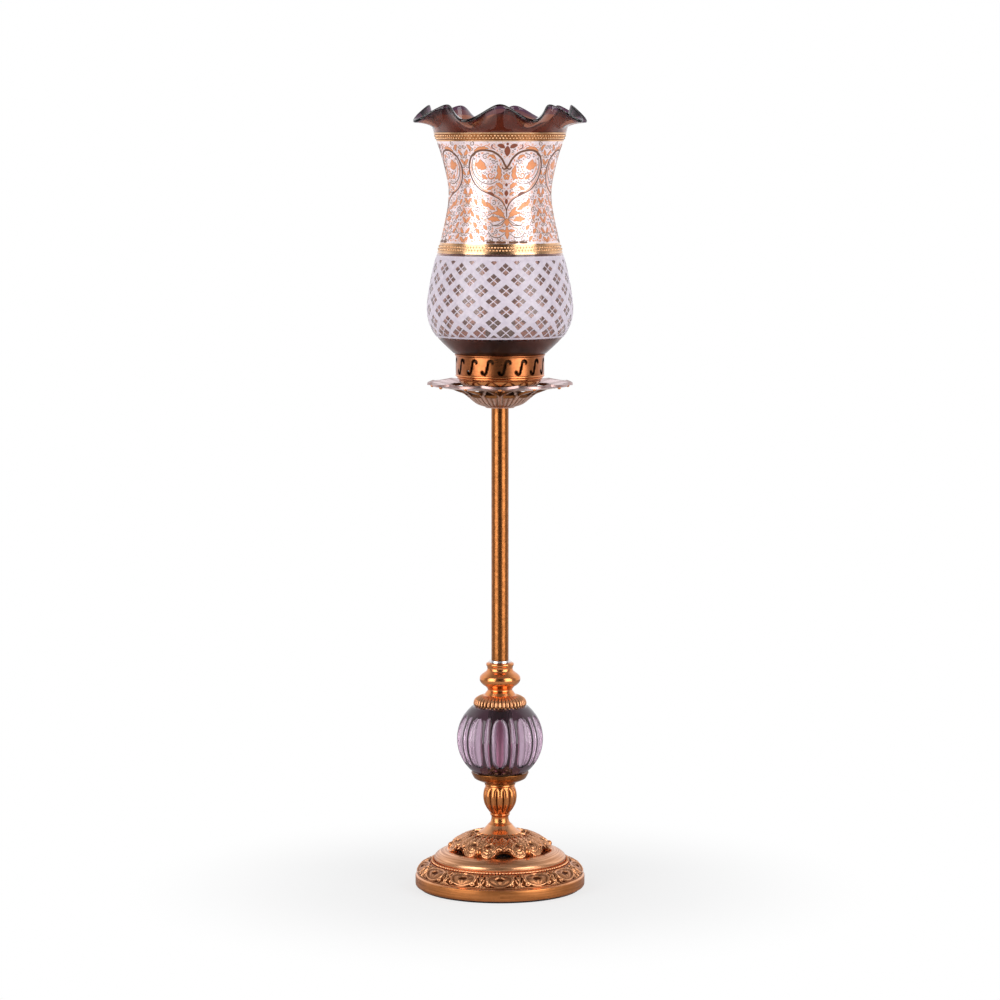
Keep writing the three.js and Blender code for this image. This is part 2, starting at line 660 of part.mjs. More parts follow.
// Gallery: a spun cup with a coved foot, a bead and a pierced wall
function gallery() {
  const coveTop = galleryBottom + GALLERY_COVE_HEIGHT;
  const cove = smooth(
    [
      [GALLERY_FOOT_RADIUS, galleryBottom],
      [mix(GALLERY_FOOT_RADIUS, GALLERY_RADIUS, 0.45), galleryBottom + 0.14 * GALLERY_COVE_HEIGHT],
      [mix(GALLERY_FOOT_RADIUS, GALLERY_RADIUS, 0.8), galleryBottom + 0.5 * GALLERY_COVE_HEIGHT],
      [GALLERY_RADIUS + 0.5, coveTop - 0.6],
    ],
    3,
  );
  const inside = GALLERY_RADIUS - GALLERY_WALL;
  const outline = [
    ...cove,
    [GALLERY_RADIUS + 0.5, coveTop + 0.5],
    [GALLERY_RADIUS, coveTop + 1.2],
    [GALLERY_RADIUS, galleryTop - 2.2],
    [GALLERY_RADIUS + 0.7, galleryTop - 1.6],
    [GALLERY_RADIUS + 0.7, galleryTop],
    [inside, galleryTop],
    [inside, coveTop],
    [GALLERY_FOOT_RADIUS - 1, galleryFloorTop],
    [boreRadius, galleryFloorTop],
    [boreRadius, galleryBottom],
  ];
  const body = solidOf(turned(outline, 2 * GALLERY_SLOTS));
  const slots = around(scrollSlot(mix(coveTop + 1.2, galleryTop - 2.2, 0.5)), GALLERY_SLOTS, SLOT_TURN);
  return geometryOf(body.subtract(wasm.Manifold.union(slots)));
}

// One scroll-shaped slot: a stroke along an S curve with a hook and a drop at each end
function scrollSlot(centreZ) {
  const half = [SLOT_WIDTH / 2, SLOT_HEIGHT / 2];
  const spine = new THREE.SplineCurve(
    [
      [0.95, 0.45],
      [0.8, 0.86],
      [0.35, 0.93],
      [0.1, 0.5],
      [-0.1, -0.5],
      [-0.35, -0.93],
      [-0.8, -0.86],
      [-0.95, -0.45],
    ].map(([x, y]) => new THREE.Vector2(x * half[0], y * half[1])),
  );
  const steps = 6;
  const sides = [1, -1].map((side) =>
    Array.from({ length: steps + 1 }, (_, i) => {
      const share = i / steps;
      const tangent = spine.getTangent(share);
      const swell = 0.75 + 0.45 * Math.abs(2 * share - 1) ** 3;
      const reach = (side * swell * SLOT_STROKE) / 2;
      return spine.getPoint(share).add(new THREE.Vector2(-tangent.y, tangent.x).multiplyScalar(reach));
    }),
  );
  const shape = new THREE.Shape([...sides[0], ...sides[1].reverse()]);
  const depth = 2 * GALLERY_WALL + 5;
  return new THREE.ExtrudeGeometry(shape, { depth, bevelEnabled: false })
    .translate(0, 0, GALLERY_RADIUS - GALLERY_WALL - 3)
    .rotateX(Math.PI / 2)
    .translate(0, 0, centreZ);
}

// Ring inside the gallery that keeps the shade centred
function locatingRing() {
  const bottom = galleryTop - RING_BELOW_SEAT;
  const top = galleryTop + RING_ABOVE_SEAT;
  const flare = GALLERY_RADIUS - GALLERY_WALL - SEAT_GAP;
  const outline = [
    [ringRadius - RING_WALL, bottom],
    [flare, bottom],
    [flare, bottom + 2],
    [ringRadius, bottom + 3],
    [ringRadius, top - 0.5],
    [ringRadius - 0.5, top],
    [ringRadius - RING_WALL, top],
  ];
  return turned(outline, 32);
}

// Candle cup: a turned socket that screws down on the rod and holds the stack together
const candleCupTop = galleryFloorTop + CANDLE_CUP_HEIGHT;
const candleSeat = candleCupTop - CANDLE_BORE_DEPTH;
function candleCup() {
  const cupRadius = candleBoreRadius + CANDLE_CUP_WALL;
  const cupBottom = candleSeat - 2.4;
  const rodTop = galleryFloorTop + ROD_INTO_CANDLE_CUP + SEAT_GAP;
  const stem = smooth(
    [
      [CANDLE_FOOT_RADIUS, galleryFloorTop + 2],
      [CANDLE_STEM_RADIUS + 1.5, galleryFloorTop + 6],
      [CANDLE_STEM_RADIUS, mix(galleryFloorTop, cupBottom, 0.45)],
      [CANDLE_STEM_RADIUS + 0.6, cupBottom - 5],
      [cupRadius - 1, cupBottom],
      [cupRadius, cupBottom + 3],
    ],
    6,
  );
  const outline = [
    [CANDLE_FOOT_RADIUS, galleryFloorTop],
    ...stem,
    [cupRadius, candleCupTop - 2.6],
    [CANDLE_LIP_RADIUS, candleCupTop - 1.2],
    [CANDLE_LIP_RADIUS, candleCupTop - 0.4],
    [candleBoreRadius + 0.5, candleCupTop],
    [candleBoreRadius, candleCupTop - 0.5],
    [candleBoreRadius, candleSeat],
    [0, candleSeat],
    [0, rodTop],
    [boreRadius, rodTop],
    [boreRadius, galleryFloorTop],
  ];
  return turned(outline, 20);
}

// Shade: a bellied crystal chimney whose rim is drawn out into waves
const shadeAt = (height) => shadeBottom + height;
const rimCrestZ = shadeAt(SHADE_HEIGHT);
const rimTroughZ = rimCrestZ - RIM_TROUGH_DROP;
function shadeWall() {
  const shoulderHeight = 0.27 * SHADE_BELLY_HEIGHT;
  const shoulder = mix(shadeFootRadius, SHADE_BELLY_RADIUS, 0.48);
  const lower = smooth(
    [
      [shoulder, shadeAt(shoulderHeight)],
      [mix(shoulder, SHADE_BELLY_RADIUS, 0.68), shadeAt(mix(shoulderHeight, SHADE_BELLY_HEIGHT, 0.38))],
      [SHADE_BELLY_RADIUS, shadeAt(SHADE_BELLY_HEIGHT)],
      [between(0.24), shadeAt(mix(SHADE_BELLY_HEIGHT, SHADE_WAIST_HEIGHT, 0.32))],
      [between(0.7), shadeAt(mix(SHADE_BELLY_HEIGHT, SHADE_WAIST_HEIGHT, 0.66))],
      [SHADE_WAIST_RADIUS, shadeAt(SHADE_WAIST_HEIGHT)],
      [flaring(0.32), shadeAt(mix(SHADE_WAIST_HEIGHT, SHADE_NECK_HEIGHT, 0.5))],
      [SHADE_NECK_RADIUS, shadeAt(SHADE_NECK_HEIGHT)],
    ],
    10,
  );
  return [[shadeFootRadius, shadeBottom], ...lower];
}
const between = (share) => mix(SHADE_BELLY_RADIUS, SHADE_WAIST_RADIUS, share);
const flaring = (share) => mix(SHADE_WAIST_RADIUS, SHADE_NECK_RADIUS, share);

// The lip's outer line at one angle: it leaves the neck along the wall and bends to the wavy edge.
const rimDrift = (angle) => RIM_DRIFT * (0.5 - 0.5 * Math.cos(angle));
function lipPoint(share, angle) {
  const crest = 0.5 + 0.5 * wave(angle + rimDrift(angle), RIM_WAVES);
  const edge = [mix(RIM_TROUGH_RADIUS, RIM_CREST_RADIUS, crest), mix(rimTroughZ, rimCrestZ, crest)];
  const neckZ = shadeAt(SHADE_NECK_HEIGHT);
  const knee = [SHADE_NECK_RADIUS + 2.2, neckZ + mix(0.9, 0.35, crest) * (edge[1] - neckZ)];
  const bend = (start, middle, end) =>
    (1 - share) ** 2 * start + 2 * share * (1 - share) * middle + share ** 2 * end;
  return [bend(SHADE_NECK_RADIUS, knee[0], edge[0]), bend(neckZ, knee[1], edge[1])];
}

// The shade is joined face by face, because its lip changes with the angle.
function shade() {
  const wall = shadeWall();
  const lipSteps = 3;
  const columns = RIM_WAVES * 4;
  const sectionAt = (angle) => {
    const lip = Array.from({ length: lipSteps }, (_, i) => lipPoint((i + 1) / lipSteps, angle));
    const outer = [...wall, ...lip];
    const inner = outer.map(([r, z], i) => {
      const [beforeR, beforeZ] = outer[Math.max(0, i - 1)];
      const [afterR, afterZ] = outer[Math.min(outer.length - 1, i + 1)];
      const length = Math.hypot(afterR - beforeR, afterZ - beforeZ);
      const inwards = [-(afterZ - beforeZ) / length, (afterR - beforeR) / length];
      if (i === 0) return [r - SHADE_FOOT_WALL, z];
      return [r + inwards[0] * SHADE_WALL, z + inwards[1] * SHADE_WALL];
    });
    return [...outer, ...inner.reverse()];
  };
  const sections = Array.from({ length: columns }, (_, i) => {
    // Each column is where its share of the waves has passed, so that every crest and trough has one.
    const passed = (i / columns) * 2 * Math.PI;
    let angle = passed;
    for (let turn = 0; turn < 12; turn += 1) angle = passed - rimDrift(angle);
    return sectionAt(angle).map(([r, z]) => [r * Math.sin(angle), -r * Math.cos(angle), z]);
  });
  const rows = sections[0].length;
  const faces = [];
  for (let i = 0; i < columns; i += 1) {
    for (let j = 0; j < rows; j += 1) {
      const here = i * rows + j;
      const up = i * rows + ((j + 1) % rows);
      const right = ((i + 1) % columns) * rows + j;
      const upRight = ((i + 1) % columns) * rows + ((j + 1) % rows);
      faces.push(here, right, upRight, here, upRight, up);
    }
  }
  const geometry = new THREE.BufferGeometry();
  geometry.setAttribute("position", new THREE.Float32BufferAttribute(sections.flat(2), 3));
  geometry.setIndex(faces);
  geometry.computeVertexNormals();
  return geometry;
}

// Assembly, from the table up
add("felt_pad", feltPad(), FELT);
add("ballast", ballast(), IRON);
add("base_plinth", plinth(), CAST_BRASS);
add("bead_wire", beadWire(), CAST_BRASS);
add("base_step", step(), BRUSHED_BRASS);
add("base_dome", dome(), CAST_BRASS);
add("tie_rod", rod(), STEEL);
add("rod_nut", hexNut(), STEEL);
add("lock_washer", ring(boreRadius, LOCK_WASHER_RADIUS, lockWasherBottom, bigWasherBottom, 16), STEEL);
add("clamp_washer", ring(boreRadius, BIG_WASHER_RADIUS, bigWasherBottom, recessTop, 16), STEEL);
add("fluted_knop", knop(), CAST_BRASS);
add("ball_cup", ballCup(), TURNED_BRASS);
add("lower_gasket", ring(ballBoreRadius, GASKET_RADIUS, ballCupFloor, ballBottom, 16), CORK);
add("crystal_ball", crystalBall(), AMETHYST);
add("ball_sleeve", ring(boreRadius, sleeveRadius, ballCupFloor, collarRecessTop, 16), TURNED_BRASS);
add("upper_gasket", ring(ballBoreRadius, GASKET_RADIUS, ballTop, collarRecessTop, 16), CORK);
add("ribbed_collar", collar(), CAST_BRASS);
add("baluster", baluster(), TURNED_BRASS);
add("stem_washer", ring(boreRadius, STEM_WASHER_RADIUS, balusterTop, stemBottom, 20), SILVERED);
add("stem_tube", ring(STEM_RADIUS - STEM_WALL, STEM_RADIUS, stemBottom, stemTop, 20), AGED_BRASS);
const bushRadius = STEM_RADIUS - STEM_WALL - SEAT_GAP;
add("stem_bush_lower", ring(boreRadius, bushRadius, stemBottom, stemBottom + STEM_BUSH_LENGTH, 12), TURNED_BRASS);
add("stem_bush_upper", ring(boreRadius, bushRadius, stemTop - STEM_BUSH_LENGTH, stemTop, 12), TURNED_BRASS);
add("openwork_saucer", saucer(), PALE_BRASS);
add("gallery_spacer", ring(boreRadius, SPACER_RADIUS, saucerFloorTop, galleryBottom, 16), TURNED_BRASS);
add("gallery", gallery(), TURNED_BRASS);
add("locating_ring", locatingRing(), TURNED_BRASS);
add("candle_cup", candleCup(), TURNED_BRASS);
add("crystal_shade", shade(), AMETHYST);

export default lamp;
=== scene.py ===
# %% [markdown]
# This lesson dresses a tall candle lamp: a shade of amethyst crystal on a brass candlestick.
# The real lamp is cast, turned and spun from brass, and threaded on one rod.
# Its shade is blown, cut and gilded.
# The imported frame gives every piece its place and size, so each cell below only makes a finer surface there.

# %% Load the frame
import math

import bmesh
import bpy
import numpy as np
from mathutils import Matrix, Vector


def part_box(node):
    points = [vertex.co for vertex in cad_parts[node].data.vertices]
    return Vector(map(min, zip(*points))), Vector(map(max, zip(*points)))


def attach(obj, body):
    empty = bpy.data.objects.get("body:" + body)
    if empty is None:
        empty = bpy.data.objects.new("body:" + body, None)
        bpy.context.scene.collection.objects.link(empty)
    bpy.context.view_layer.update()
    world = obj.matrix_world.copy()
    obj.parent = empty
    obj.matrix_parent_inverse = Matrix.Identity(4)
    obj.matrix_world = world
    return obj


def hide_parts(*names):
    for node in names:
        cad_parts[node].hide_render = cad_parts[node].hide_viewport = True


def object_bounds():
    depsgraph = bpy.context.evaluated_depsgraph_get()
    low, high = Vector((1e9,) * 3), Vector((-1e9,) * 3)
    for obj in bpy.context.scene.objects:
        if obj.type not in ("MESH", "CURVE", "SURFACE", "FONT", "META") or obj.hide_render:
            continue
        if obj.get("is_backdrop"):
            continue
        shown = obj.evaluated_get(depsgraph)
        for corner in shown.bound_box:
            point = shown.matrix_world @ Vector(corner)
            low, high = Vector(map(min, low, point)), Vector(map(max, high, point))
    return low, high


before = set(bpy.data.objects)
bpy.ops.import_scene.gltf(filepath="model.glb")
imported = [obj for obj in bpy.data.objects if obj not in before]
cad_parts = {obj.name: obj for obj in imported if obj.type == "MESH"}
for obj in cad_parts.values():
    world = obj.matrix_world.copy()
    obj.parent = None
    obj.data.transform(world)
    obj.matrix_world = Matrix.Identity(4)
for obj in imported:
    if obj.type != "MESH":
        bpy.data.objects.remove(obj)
cad_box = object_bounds()
MM = 0.001


def low(node):
    """Height of a node's underside, in millimetres."""
    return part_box(node)[0].z / MM


def high(node):
    """Height of a node's top, in millimetres."""
    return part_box(node)[1].z / MM


def reach(node):
    """Radius of a node at the front, in millimetres."""
    return -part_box(node)[0].y / MM


# %% [markdown]
# The lamp was photographed with a long lens from just above the height of its rim.
# A camera three metres away with a lens of 127 mm gives the same flat perspective.
# It looks down by 5.8 degrees, so the table shows as a thin ellipse under the foot.

# %% Camera
CAMERA_PLACE = (0.0, -3.05, 0.6505)
CAMERA_TILT_DOWN = 5.81
CAMERA_LENS, CAMERA_SENSOR = 127.37, 36
camera = bpy.data.objects.new("camera", bpy.data.cameras.new("camera"))
camera.location = CAMERA_PLACE
camera.rotation_euler = (math.radians(90 - CAMERA_TILT_DOWN), 0, 0)
camera.data.lens = CAMERA_LENS
camera.data.sensor_width = CAMERA_SENSOR
bpy.context.scene.collection.objects.link(camera)
bpy.context.scene.camera = camera
bpy.context.scene.view_settings.view_transform = "Standard"
print("camera at", CAMERA_PLACE, "tilted down by", CAMERA_TILT_DOWN, "degrees")

# %% [markdown]
# Node trees are drawn by hand in Blender, and can as well be written down.
# One helper places a node, sets its options and joins its sockets, and one opens a group with named sockets.
# Short ones stand for the steps that come back most, such as arithmetic, noise and a mix of two colours.
# Written this way, a tree reads from its inputs to its output like a formula.


# %% Helpers that write node trees
def put(tree, kind, inputs=None, **settings):
    """Places a node. Each input is a value or the output socket that feeds it."""
    node = tree.nodes.new(kind)
    for label, value in settings.items():
        setattr(node, label, value)
    for label, value in (inputs or {}).items():
        if isinstance(value, bpy.types.NodeSocket):
            tree.links.new(value, node.inputs[label])
        else:
            node.inputs[label].default_value = value
    return node


def calc(tree, operation, first, second=None, third=None):
    """One step of arithmetic. Gives the output socket."""
    values = {i: v for i, v in enumerate((first, second, third)) if v is not None}
    return put(tree, "ShaderNodeMath", values, operation=operation).outputs[0]


def blend(tree, share, first, second):
    """A mix of two colours. Gives the output socket."""
    return put(tree, "ShaderNodeMix", {0: share, 6: first, 7: second}, data_type="RGBA").outputs[2]


def cloud_noise(tree, place, scale, detail, **more):
    """A soft noise. Gives the output socket."""
    values = {"Vector": place, "Scale": scale, "Detail": detail, **more}
    return put(tree, "ShaderNodeTexNoise", values).outputs[0]


def own_place(tree):
    """The Object coordinates of a piece. Gives the output socket."""
    return put(tree, "ShaderNodeTexCoord").outputs["Object"]


def split(tree, vector):
    """The sockets X, Y and Z of a vector."""
    return put(tree, "ShaderNodeSeparateXYZ", {0: vector}).outputs


def seen_directly(tree):
    """1 for rays from the camera or through glass, and 0 for all others. Gives the output socket."""
    path = put(tree, "ShaderNodeLightPath").outputs
    return calc(tree, "MAXIMUM", path["Is Camera Ray"], path["Is Transmission Ray"])


def new_group(name, kind, inputs, outputs):
    """A node group. Sockets are (name, socket type, value) and (name, socket type)."""
    tree = bpy.data.node_groups.new(name, kind)
    for label, socket_type, value in inputs:
        socket = tree.interface.new_socket(label, in_out="INPUT", socket_type=socket_type)
        if value is not None:
            socket.default_value = value
    for label, socket_type in outputs:
        tree.interface.new_socket(label, in_out="OUTPUT", socket_type=socket_type)
    return tree, put(tree, "NodeGroupInput").outputs, put(tree, "NodeGroupOutput").inputs


FLOAT, COLOR = "NodeSocketFloat", "NodeSocketColor"
print("helpers ready for Blender", bpy.app.version_string)

# %% [markdown]
# Polished brass shows the room more than itself, so the room decides how it looks.
# A studio has a dark end at the photographer, a tall soft light on each side and a white wall behind.
# The world gives those zones by direction, and two tall area lights give the edges of every turned form.
# Rays that come from the camera or through glass see plain white all round, as in a product picture.

# %% Light and background
# Directions run from 0, straight to the back, to 1, straight to the front. Each has its brightness.
ROOM = [(0, 1.0), (0.32, 1.0), (0.42, 0.5), (0.55, 0.2), (0.85, 0.2), (0.93, 0.1), (0.97, 0.04), (1, 0.03)]
ROOM_BLUE = 1.03
CEILING = (0.3, 0.3, 0.31, 1)
CEILING_FROM, CEILING_FULL = 0.6, 0.9
WHITE = (1, 1, 1, 1)


def make_world():
    world = bpy.data.worlds.new("studio")
    world.use_nodes = True
    tree = world.node_tree
    tree.nodes.clear()
    direction = put(tree, "ShaderNodeTexCoord").outputs["Generated"]
    flat = put(tree, "ShaderNodeVectorMath", {0: direction, 1: (1, 1, 0)}, operation="MULTIPLY")
    level = put(tree, "ShaderNodeVectorMath", {0: flat.outputs[0]}, operation="NORMALIZE")
    towards_front = calc(tree, "MULTIPLY", split(tree, level.outputs[0])["Y"], -1)
    share = calc(tree, "MULTIPLY_ADD", towards_front, 0.5, 0.5)
    round_the_room = put(tree, "ShaderNodeValToRGB", {0: share})
    ramp = round_the_room.color_ramp
    ramp.elements.remove(ramp.elements[1])
    for place, value in ROOM:
        stop = ramp.elements.new(place) if place > 0 else ramp.elements[0]
        stop.color = (value, value, value * ROOM_BLUE, 1)
    rise = {"Value": split(tree, direction)["Z"], "From Min": CEILING_FROM, "From Max": CEILING_FULL}
    overhead = put(tree, "ShaderNodeMapRange", rise).outputs[0]
    room = blend(tree, overhead, round_the_room.outputs[0], CEILING)
    colour = blend(tree, seen_directly(tree), room, WHITE)
    background = put(tree, "ShaderNodeBackground", {"Color": colour, "Strength": 1.0})
    output = put(tree, "ShaderNodeOutputWorld")
    tree.links.new(background.outputs[0], output.inputs["Surface"])
    bpy.context.scene.world = world


def soft_light(name, azimuth, distance, height, width, tall, power):
    """A tall soft light that faces the lamp from an azimuth, 0 at the front."""
    light = bpy.data.lights.new(name, "AREA")
    light.shape = "RECTANGLE"
    light.size = width
    light.size_y = tall
    light.energy = power
    holder = bpy.data.objects.new(name, light)
    angle = math.radians(azimuth)
    holder.location = (distance * math.sin(angle), -distance * math.cos(angle), height)
    holder.rotation_euler = (math.pi / 2, 0, angle)
    bpy.context.scene.collection.objects.link(holder)


make_world()
for side, azimuth in (("left", -50), ("right", 50)):
    soft_light("soft_light_" + side, azimuth, distance=1.5, height=0.85, width=1.1, tall=1.9, power=23.0)

# %% [markdown]
# The lamp stands on a pale table that runs out of sight without a visible edge.
# The floor is a pale matt disc, and keeps the soft shadow round the foot.
# For rays from the camera or through glass it also glows: by three quarters at the foot, fully further out.

# %% Floor
FLOOR_RADIUS, FLOOR_SIDES, FLOOR_DROP = 1.1, 96, 0.0002
FLOOR_GREY = (0.6, 0.6, 0.6, 1)
GLOW_AT_FOOT = 0.75
GLOW_FROM, GLOW_FULL = 0.08, 0.34


def make_floor():
    angles = [2 * math.pi * i / FLOOR_SIDES for i in range(FLOOR_SIDES)]
    edge = [(FLOOR_RADIUS * math.cos(a), FLOOR_RADIUS * math.sin(a), -FLOOR_DROP) for a in angles]
    mesh = bpy.data.meshes.new("floor")
    mesh.from_pydata(edge, [], [tuple(range(FLOOR_SIDES))])
    floor = bpy.data.objects.new("floor", mesh)
    bpy.context.scene.collection.objects.link(floor)
    material = bpy.data.materials.new("pale_floor")
    material.use_nodes = True
    tree = material.node_tree
    tree.nodes.clear()
    distance = put(tree, "ShaderNodeVectorMath", {0: own_place(tree)}, operation="LENGTH").outputs["Value"]
    fade = {"Value": distance, "From Min": GLOW_FROM, "From Max": GLOW_FULL}
    far = put(tree, "ShaderNodeMapRange", fade, interpolation_type="SMOOTHSTEP").outputs[0]
    glow = calc(tree, "MULTIPLY_ADD", far, 1 - GLOW_AT_FOOT, GLOW_AT_FOOT)
    share = calc(tree, "MULTIPLY", seen_directly(tree), glow)
    matt = put(tree, "ShaderNodeBsdfDiffuse", {"Color": FLOOR_GREY}).outputs[0]
    white = put(tree, "ShaderNodeEmission", {"Color": WHITE, "Strength": 1.0}).outputs[0]
    mixed = put(tree, "ShaderNodeMixShader", {0: share, 1: matt, 2: white})
    output = put(tree, "ShaderNodeOutputMaterial")
    tree.links.new(mixed.outputs[0], output.inputs["Surface"])
    mesh.materials.append(material)
    floor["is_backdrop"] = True


make_floor()
print("floor: a pale disc of", 2 * FLOOR_RADIUS, "m")

# %% [markdown]
# Old gilt brass is bright where hands and cloth reach it and brown in the hollows of the casting.
# The carved meshes below carry an attribute called relief, 0 in the hollows and 1 on the tops.
# One shared group turns it, with soft clouds of tarnished spots, into a colour and a roughness for every
# brass.
# On the gallery, the saucer's bowl and the shade's upper gilt band relief is set low to paint shade, so there
# the dark colour is painted shade.

# %% Shader group for tarnished brass and painted shade
SKIN = [("Color", COLOR), ("Roughness", FLOAT)]


def make_patina_and_shade_group():
    inputs = [
        ("Bright", COLOR, (0.8, 0.4, 0.2, 1)),
        ("Deep", COLOR, (0.2, 0.08, 0.03, 1)),
        ("Hollows", FLOAT, 0.8),
        ("Clouds", FLOAT, 0.3),
        ("Cloud size", FLOAT, 12.0),
        ("Polish", FLOAT, 0.2),
        ("Dullness", FLOAT, 0.45),
    ]
    tree, given, result = new_group("patina_and_shade", "ShaderNodeTree", inputs, SKIN)
    scale = calc(tree, "DIVIDE", 1 / MM, given["Cloud size"])
    cloud = cloud_noise(tree, own_place(tree), scale, 5.0, Roughness=0.6)
    relief = put(tree, "ShaderNodeAttribute", attribute_name="relief").outputs["Fac"]
    hollow = calc(tree, "MULTIPLY", calc(tree, "SUBTRACT", 1.0, relief), given["Hollows"])
    dirt = calc(tree, "MULTIPLY", calc(tree, "MULTIPLY_ADD", cloud, 2.0, -0.6), given["Clouds"])
    share = calc(tree, "ADD", hollow, dirt)
    share.node.use_clamp = True
    tree.links.new(blend(tree, share, given["Bright"], given["Deep"]), result["Color"])
    wear = {"Value": share, "To Min": given["Polish"], "To Max": given["Dullness"]}
    tree.links.new(put(tree, "ShaderNodeMapRange", wear).outputs[0], result["Roughness"])
    return tree


patina_and_shade = make_patina_and_shade_group()
print("group", patina_and_shade.name, "with", len(patina_and_shade.nodes), "nodes")

# %% [markdown]
# A lathe tool, a brush or a polishing mop leaves fine rings round a turned piece.
# Noise that is read by radius and height alone gives such rings, because it is the same all the way round.
# A little of the angle is added, so that the rings start and stop as real scratches do.


# %% Shader group for turning marks
def make_marks_group():
    inputs = [("Spacing", FLOAT, 0.5), ("Length", FLOAT, 1.0)]
    tree, given, result = new_group("turning_marks", "ShaderNodeTree", inputs, [("Lines", FLOAT)])
    x, y, z = split(tree, own_place(tree))
    radius = calc(tree, "SQRT", calc(tree, "ADD", calc(tree, "MULTIPLY", x, x), calc(tree, "MULTIPLY", y, y)))
    fine = calc(tree, "DIVIDE", 1 / MM, given["Spacing"])
    angle = calc(tree, "DIVIDE", calc(tree, "ARCTAN2", x, y), given["Length"])
    place = put(
        tree,
        "ShaderNodeCombineXYZ",
        {"X": calc(tree, "MULTIPLY", radius, fine), "Y": calc(tree, "MULTIPLY", z, fine), "Z": angle},
    )
    tree.links.new(cloud_noise(tree, place.outputs[0], 1.0, 3.0), result["Lines"])
    return tree


marks = make_marks_group()
print("group", marks.name, "with", len(marks.nodes), "nodes")

# %% [markdown]
# Flashed glass is dark where its skin is left and clear where a wheel has cut through it.
# The group below goes from the clear colour to the dark one by an attribute called cased and by the height.
# A second attribute, ground, says where the wheel has left the glass rough.

# %% Shader group for glass colour
STREAK_SCALE = (60, 60, 14)


def make_crystal_group():
    inputs = [("Clear", COLOR, (0.5, 0.3, 0.4, 1)), ("Dark", COLOR, (0.1, 0.05, 0.06, 1))]
    inputs += [("Streaks", FLOAT, 0.1), ("Cut from", FLOAT, 0.0), ("Cut to", FLOAT, 1.0)]
    tree, given, result = new_group("crystal_colour", "ShaderNodeTree", inputs, SKIN)
    place = own_place(tree)
    stretched = put(tree, "ShaderNodeVectorMath", {0: place, 1: STREAK_SCALE}, operation="MULTIPLY")
    noise = cloud_noise(tree, stretched.outputs[0], 1.0, 2.0)
    cased = put(tree, "ShaderNodeAttribute", attribute_name="cased").outputs["Fac"]
    streaked = calc(tree, "MULTIPLY_ADD", noise, given["Streaks"], cased)
    height = split(tree, place)["Z"]
    under = calc(tree, "LESS_THAN", height, given["Cut from"])
    over = calc(tree, "GREATER_THAN", height, given["Cut to"])
    share = calc(tree, "ADD", streaked, calc(tree, "ADD", under, over))
    share.node.use_clamp = True
    tree.links.new(blend(tree, share, given["Clear"], given["Dark"]), result["Color"])
    ground = put(tree, "ShaderNodeAttribute", attribute_name="ground").outputs["Fac"]
    polish = calc(tree, "MULTIPLY_ADD", noise, 0.02, 0.01)
    rough = calc(tree, "MULTIPLY_ADD", ground, 0.5, polish)
    tree.links.new(rough, result["Roughness"])
    return tree


crystal_colour = make_crystal_group()
print("group", crystal_colour.name, "with", len(crystal_colour.nodes), "nodes")

# %% [markdown]
# Each finish of the lamp is one material, and they share the groups above with values of their own.
# Copper-coloured brass comes from a warm base colour with full metallic, and its life from the roughness.
# The turning marks go into a bump, which breaks up the reflections without changing the outline.


# %% Brass finishes
def new_material(name, plain):
    """A material with one Principled shader and the sockets that are the same all over."""
    material = bpy.data.materials.new(name)
    material.use_nodes = True
    shader = material.node_tree.nodes["Principled BSDF"]
    for label, value in plain.items():
        shader.inputs[label].default_value = value
    return material, material.node_tree, shader.inputs


def group_node(tree, group, values):
    node = tree.nodes.new("ShaderNodeGroup")
    node.node_tree = group
    for label, value in values.items():
        node.inputs[label].default_value = value
    return node.outputs


def bump(tree, inputs, height, distance, strength=1.0):
    """Feeds the shader's normal from a height that is given in millimetres."""
    node = put(tree, "ShaderNodeBump", {"Height": height, "Distance": distance * MM, "Strength": strength})
    tree.links.new(node.outputs[0], inputs["Normal"])


def brass(name, bright, deep, spacing=0.5, mark_depth=0.02, length=1.0, streaks=0.0, **values):
    """Brass with turning marks. The other values are inputs of the patina_and_shade group, in lower case."""
    material, tree, inputs = new_material(name, {"Metallic": 1.0})
    settings = {"Bright": (*bright, 1), "Deep": (*deep, 1)}
    settings.update({label.replace("_", " ").capitalize(): value for label, value in values.items()})
    skin = group_node(tree, patina_and_shade, settings)
    lines = group_node(tree, marks, {"Spacing": spacing, "Length": length})["Lines"]
    contrast = {"Value": lines, "From Min": 0.35, "From Max": 0.65, "To Min": 0.0, "To Max": streaks}
    worn = put(tree, "ShaderNodeMapRange", contrast).outputs[0]
    tree.links.new(blend(tree, worn, skin["Color"], (*deep, 1)), inputs["Base Color"])
    uneven = calc(tree, "MULTIPLY_ADD", lines, 0.16, -0.08)
    rough = calc(tree, "ADD", skin["Roughness"], uneven)
    rough.node.use_clamp = True
    tree.links.new(rough, inputs["Roughness"])
    bump(tree, inputs, lines, mark_depth)
    return material


cast_brass = brass(
    "cast_brass", (0.90, 0.42, 0.20), (0.12, 0.03, 0.008),
    hollows=1.0, clouds=0.25, polish=0.2, dullness=0.5,
)
brushed_brass = brass(
    "brushed_brass", (1.0, 0.54, 0.30), (0.40, 0.14, 0.045),
    spacing=1.1, mark_depth=0.2, length=0.6, streaks=0.75,
    hollows=0.0, clouds=0.25, polish=0.28, dullness=0.45,
)
turned_brass = brass(
    "turned_brass", (0.82, 0.31, 0.11), (0.30, 0.08, 0.02),
    spacing=0.6, mark_depth=0.03,
    hollows=0.0, clouds=0.3, polish=0.19, dullness=0.36,
)
aged_brass = brass(
    "aged_brass", (0.40, 0.145, 0.042), (0.13, 0.04, 0.01),
    spacing=0.7, mark_depth=0.03, length=0.1,
    hollows=0.0, clouds=0.8, cloud_size=2.6, polish=0.22,
)
rim_brass = brass(
    "rim_brass", (0.78, 0.30, 0.10), (0.30, 0.09, 0.02),
    spacing=1.4, mark_depth=0.1, length=0.6, streaks=0.6,
    hollows=0.0, clouds=0.5, cloud_size=9, polish=0.3, dullness=0.5,
)
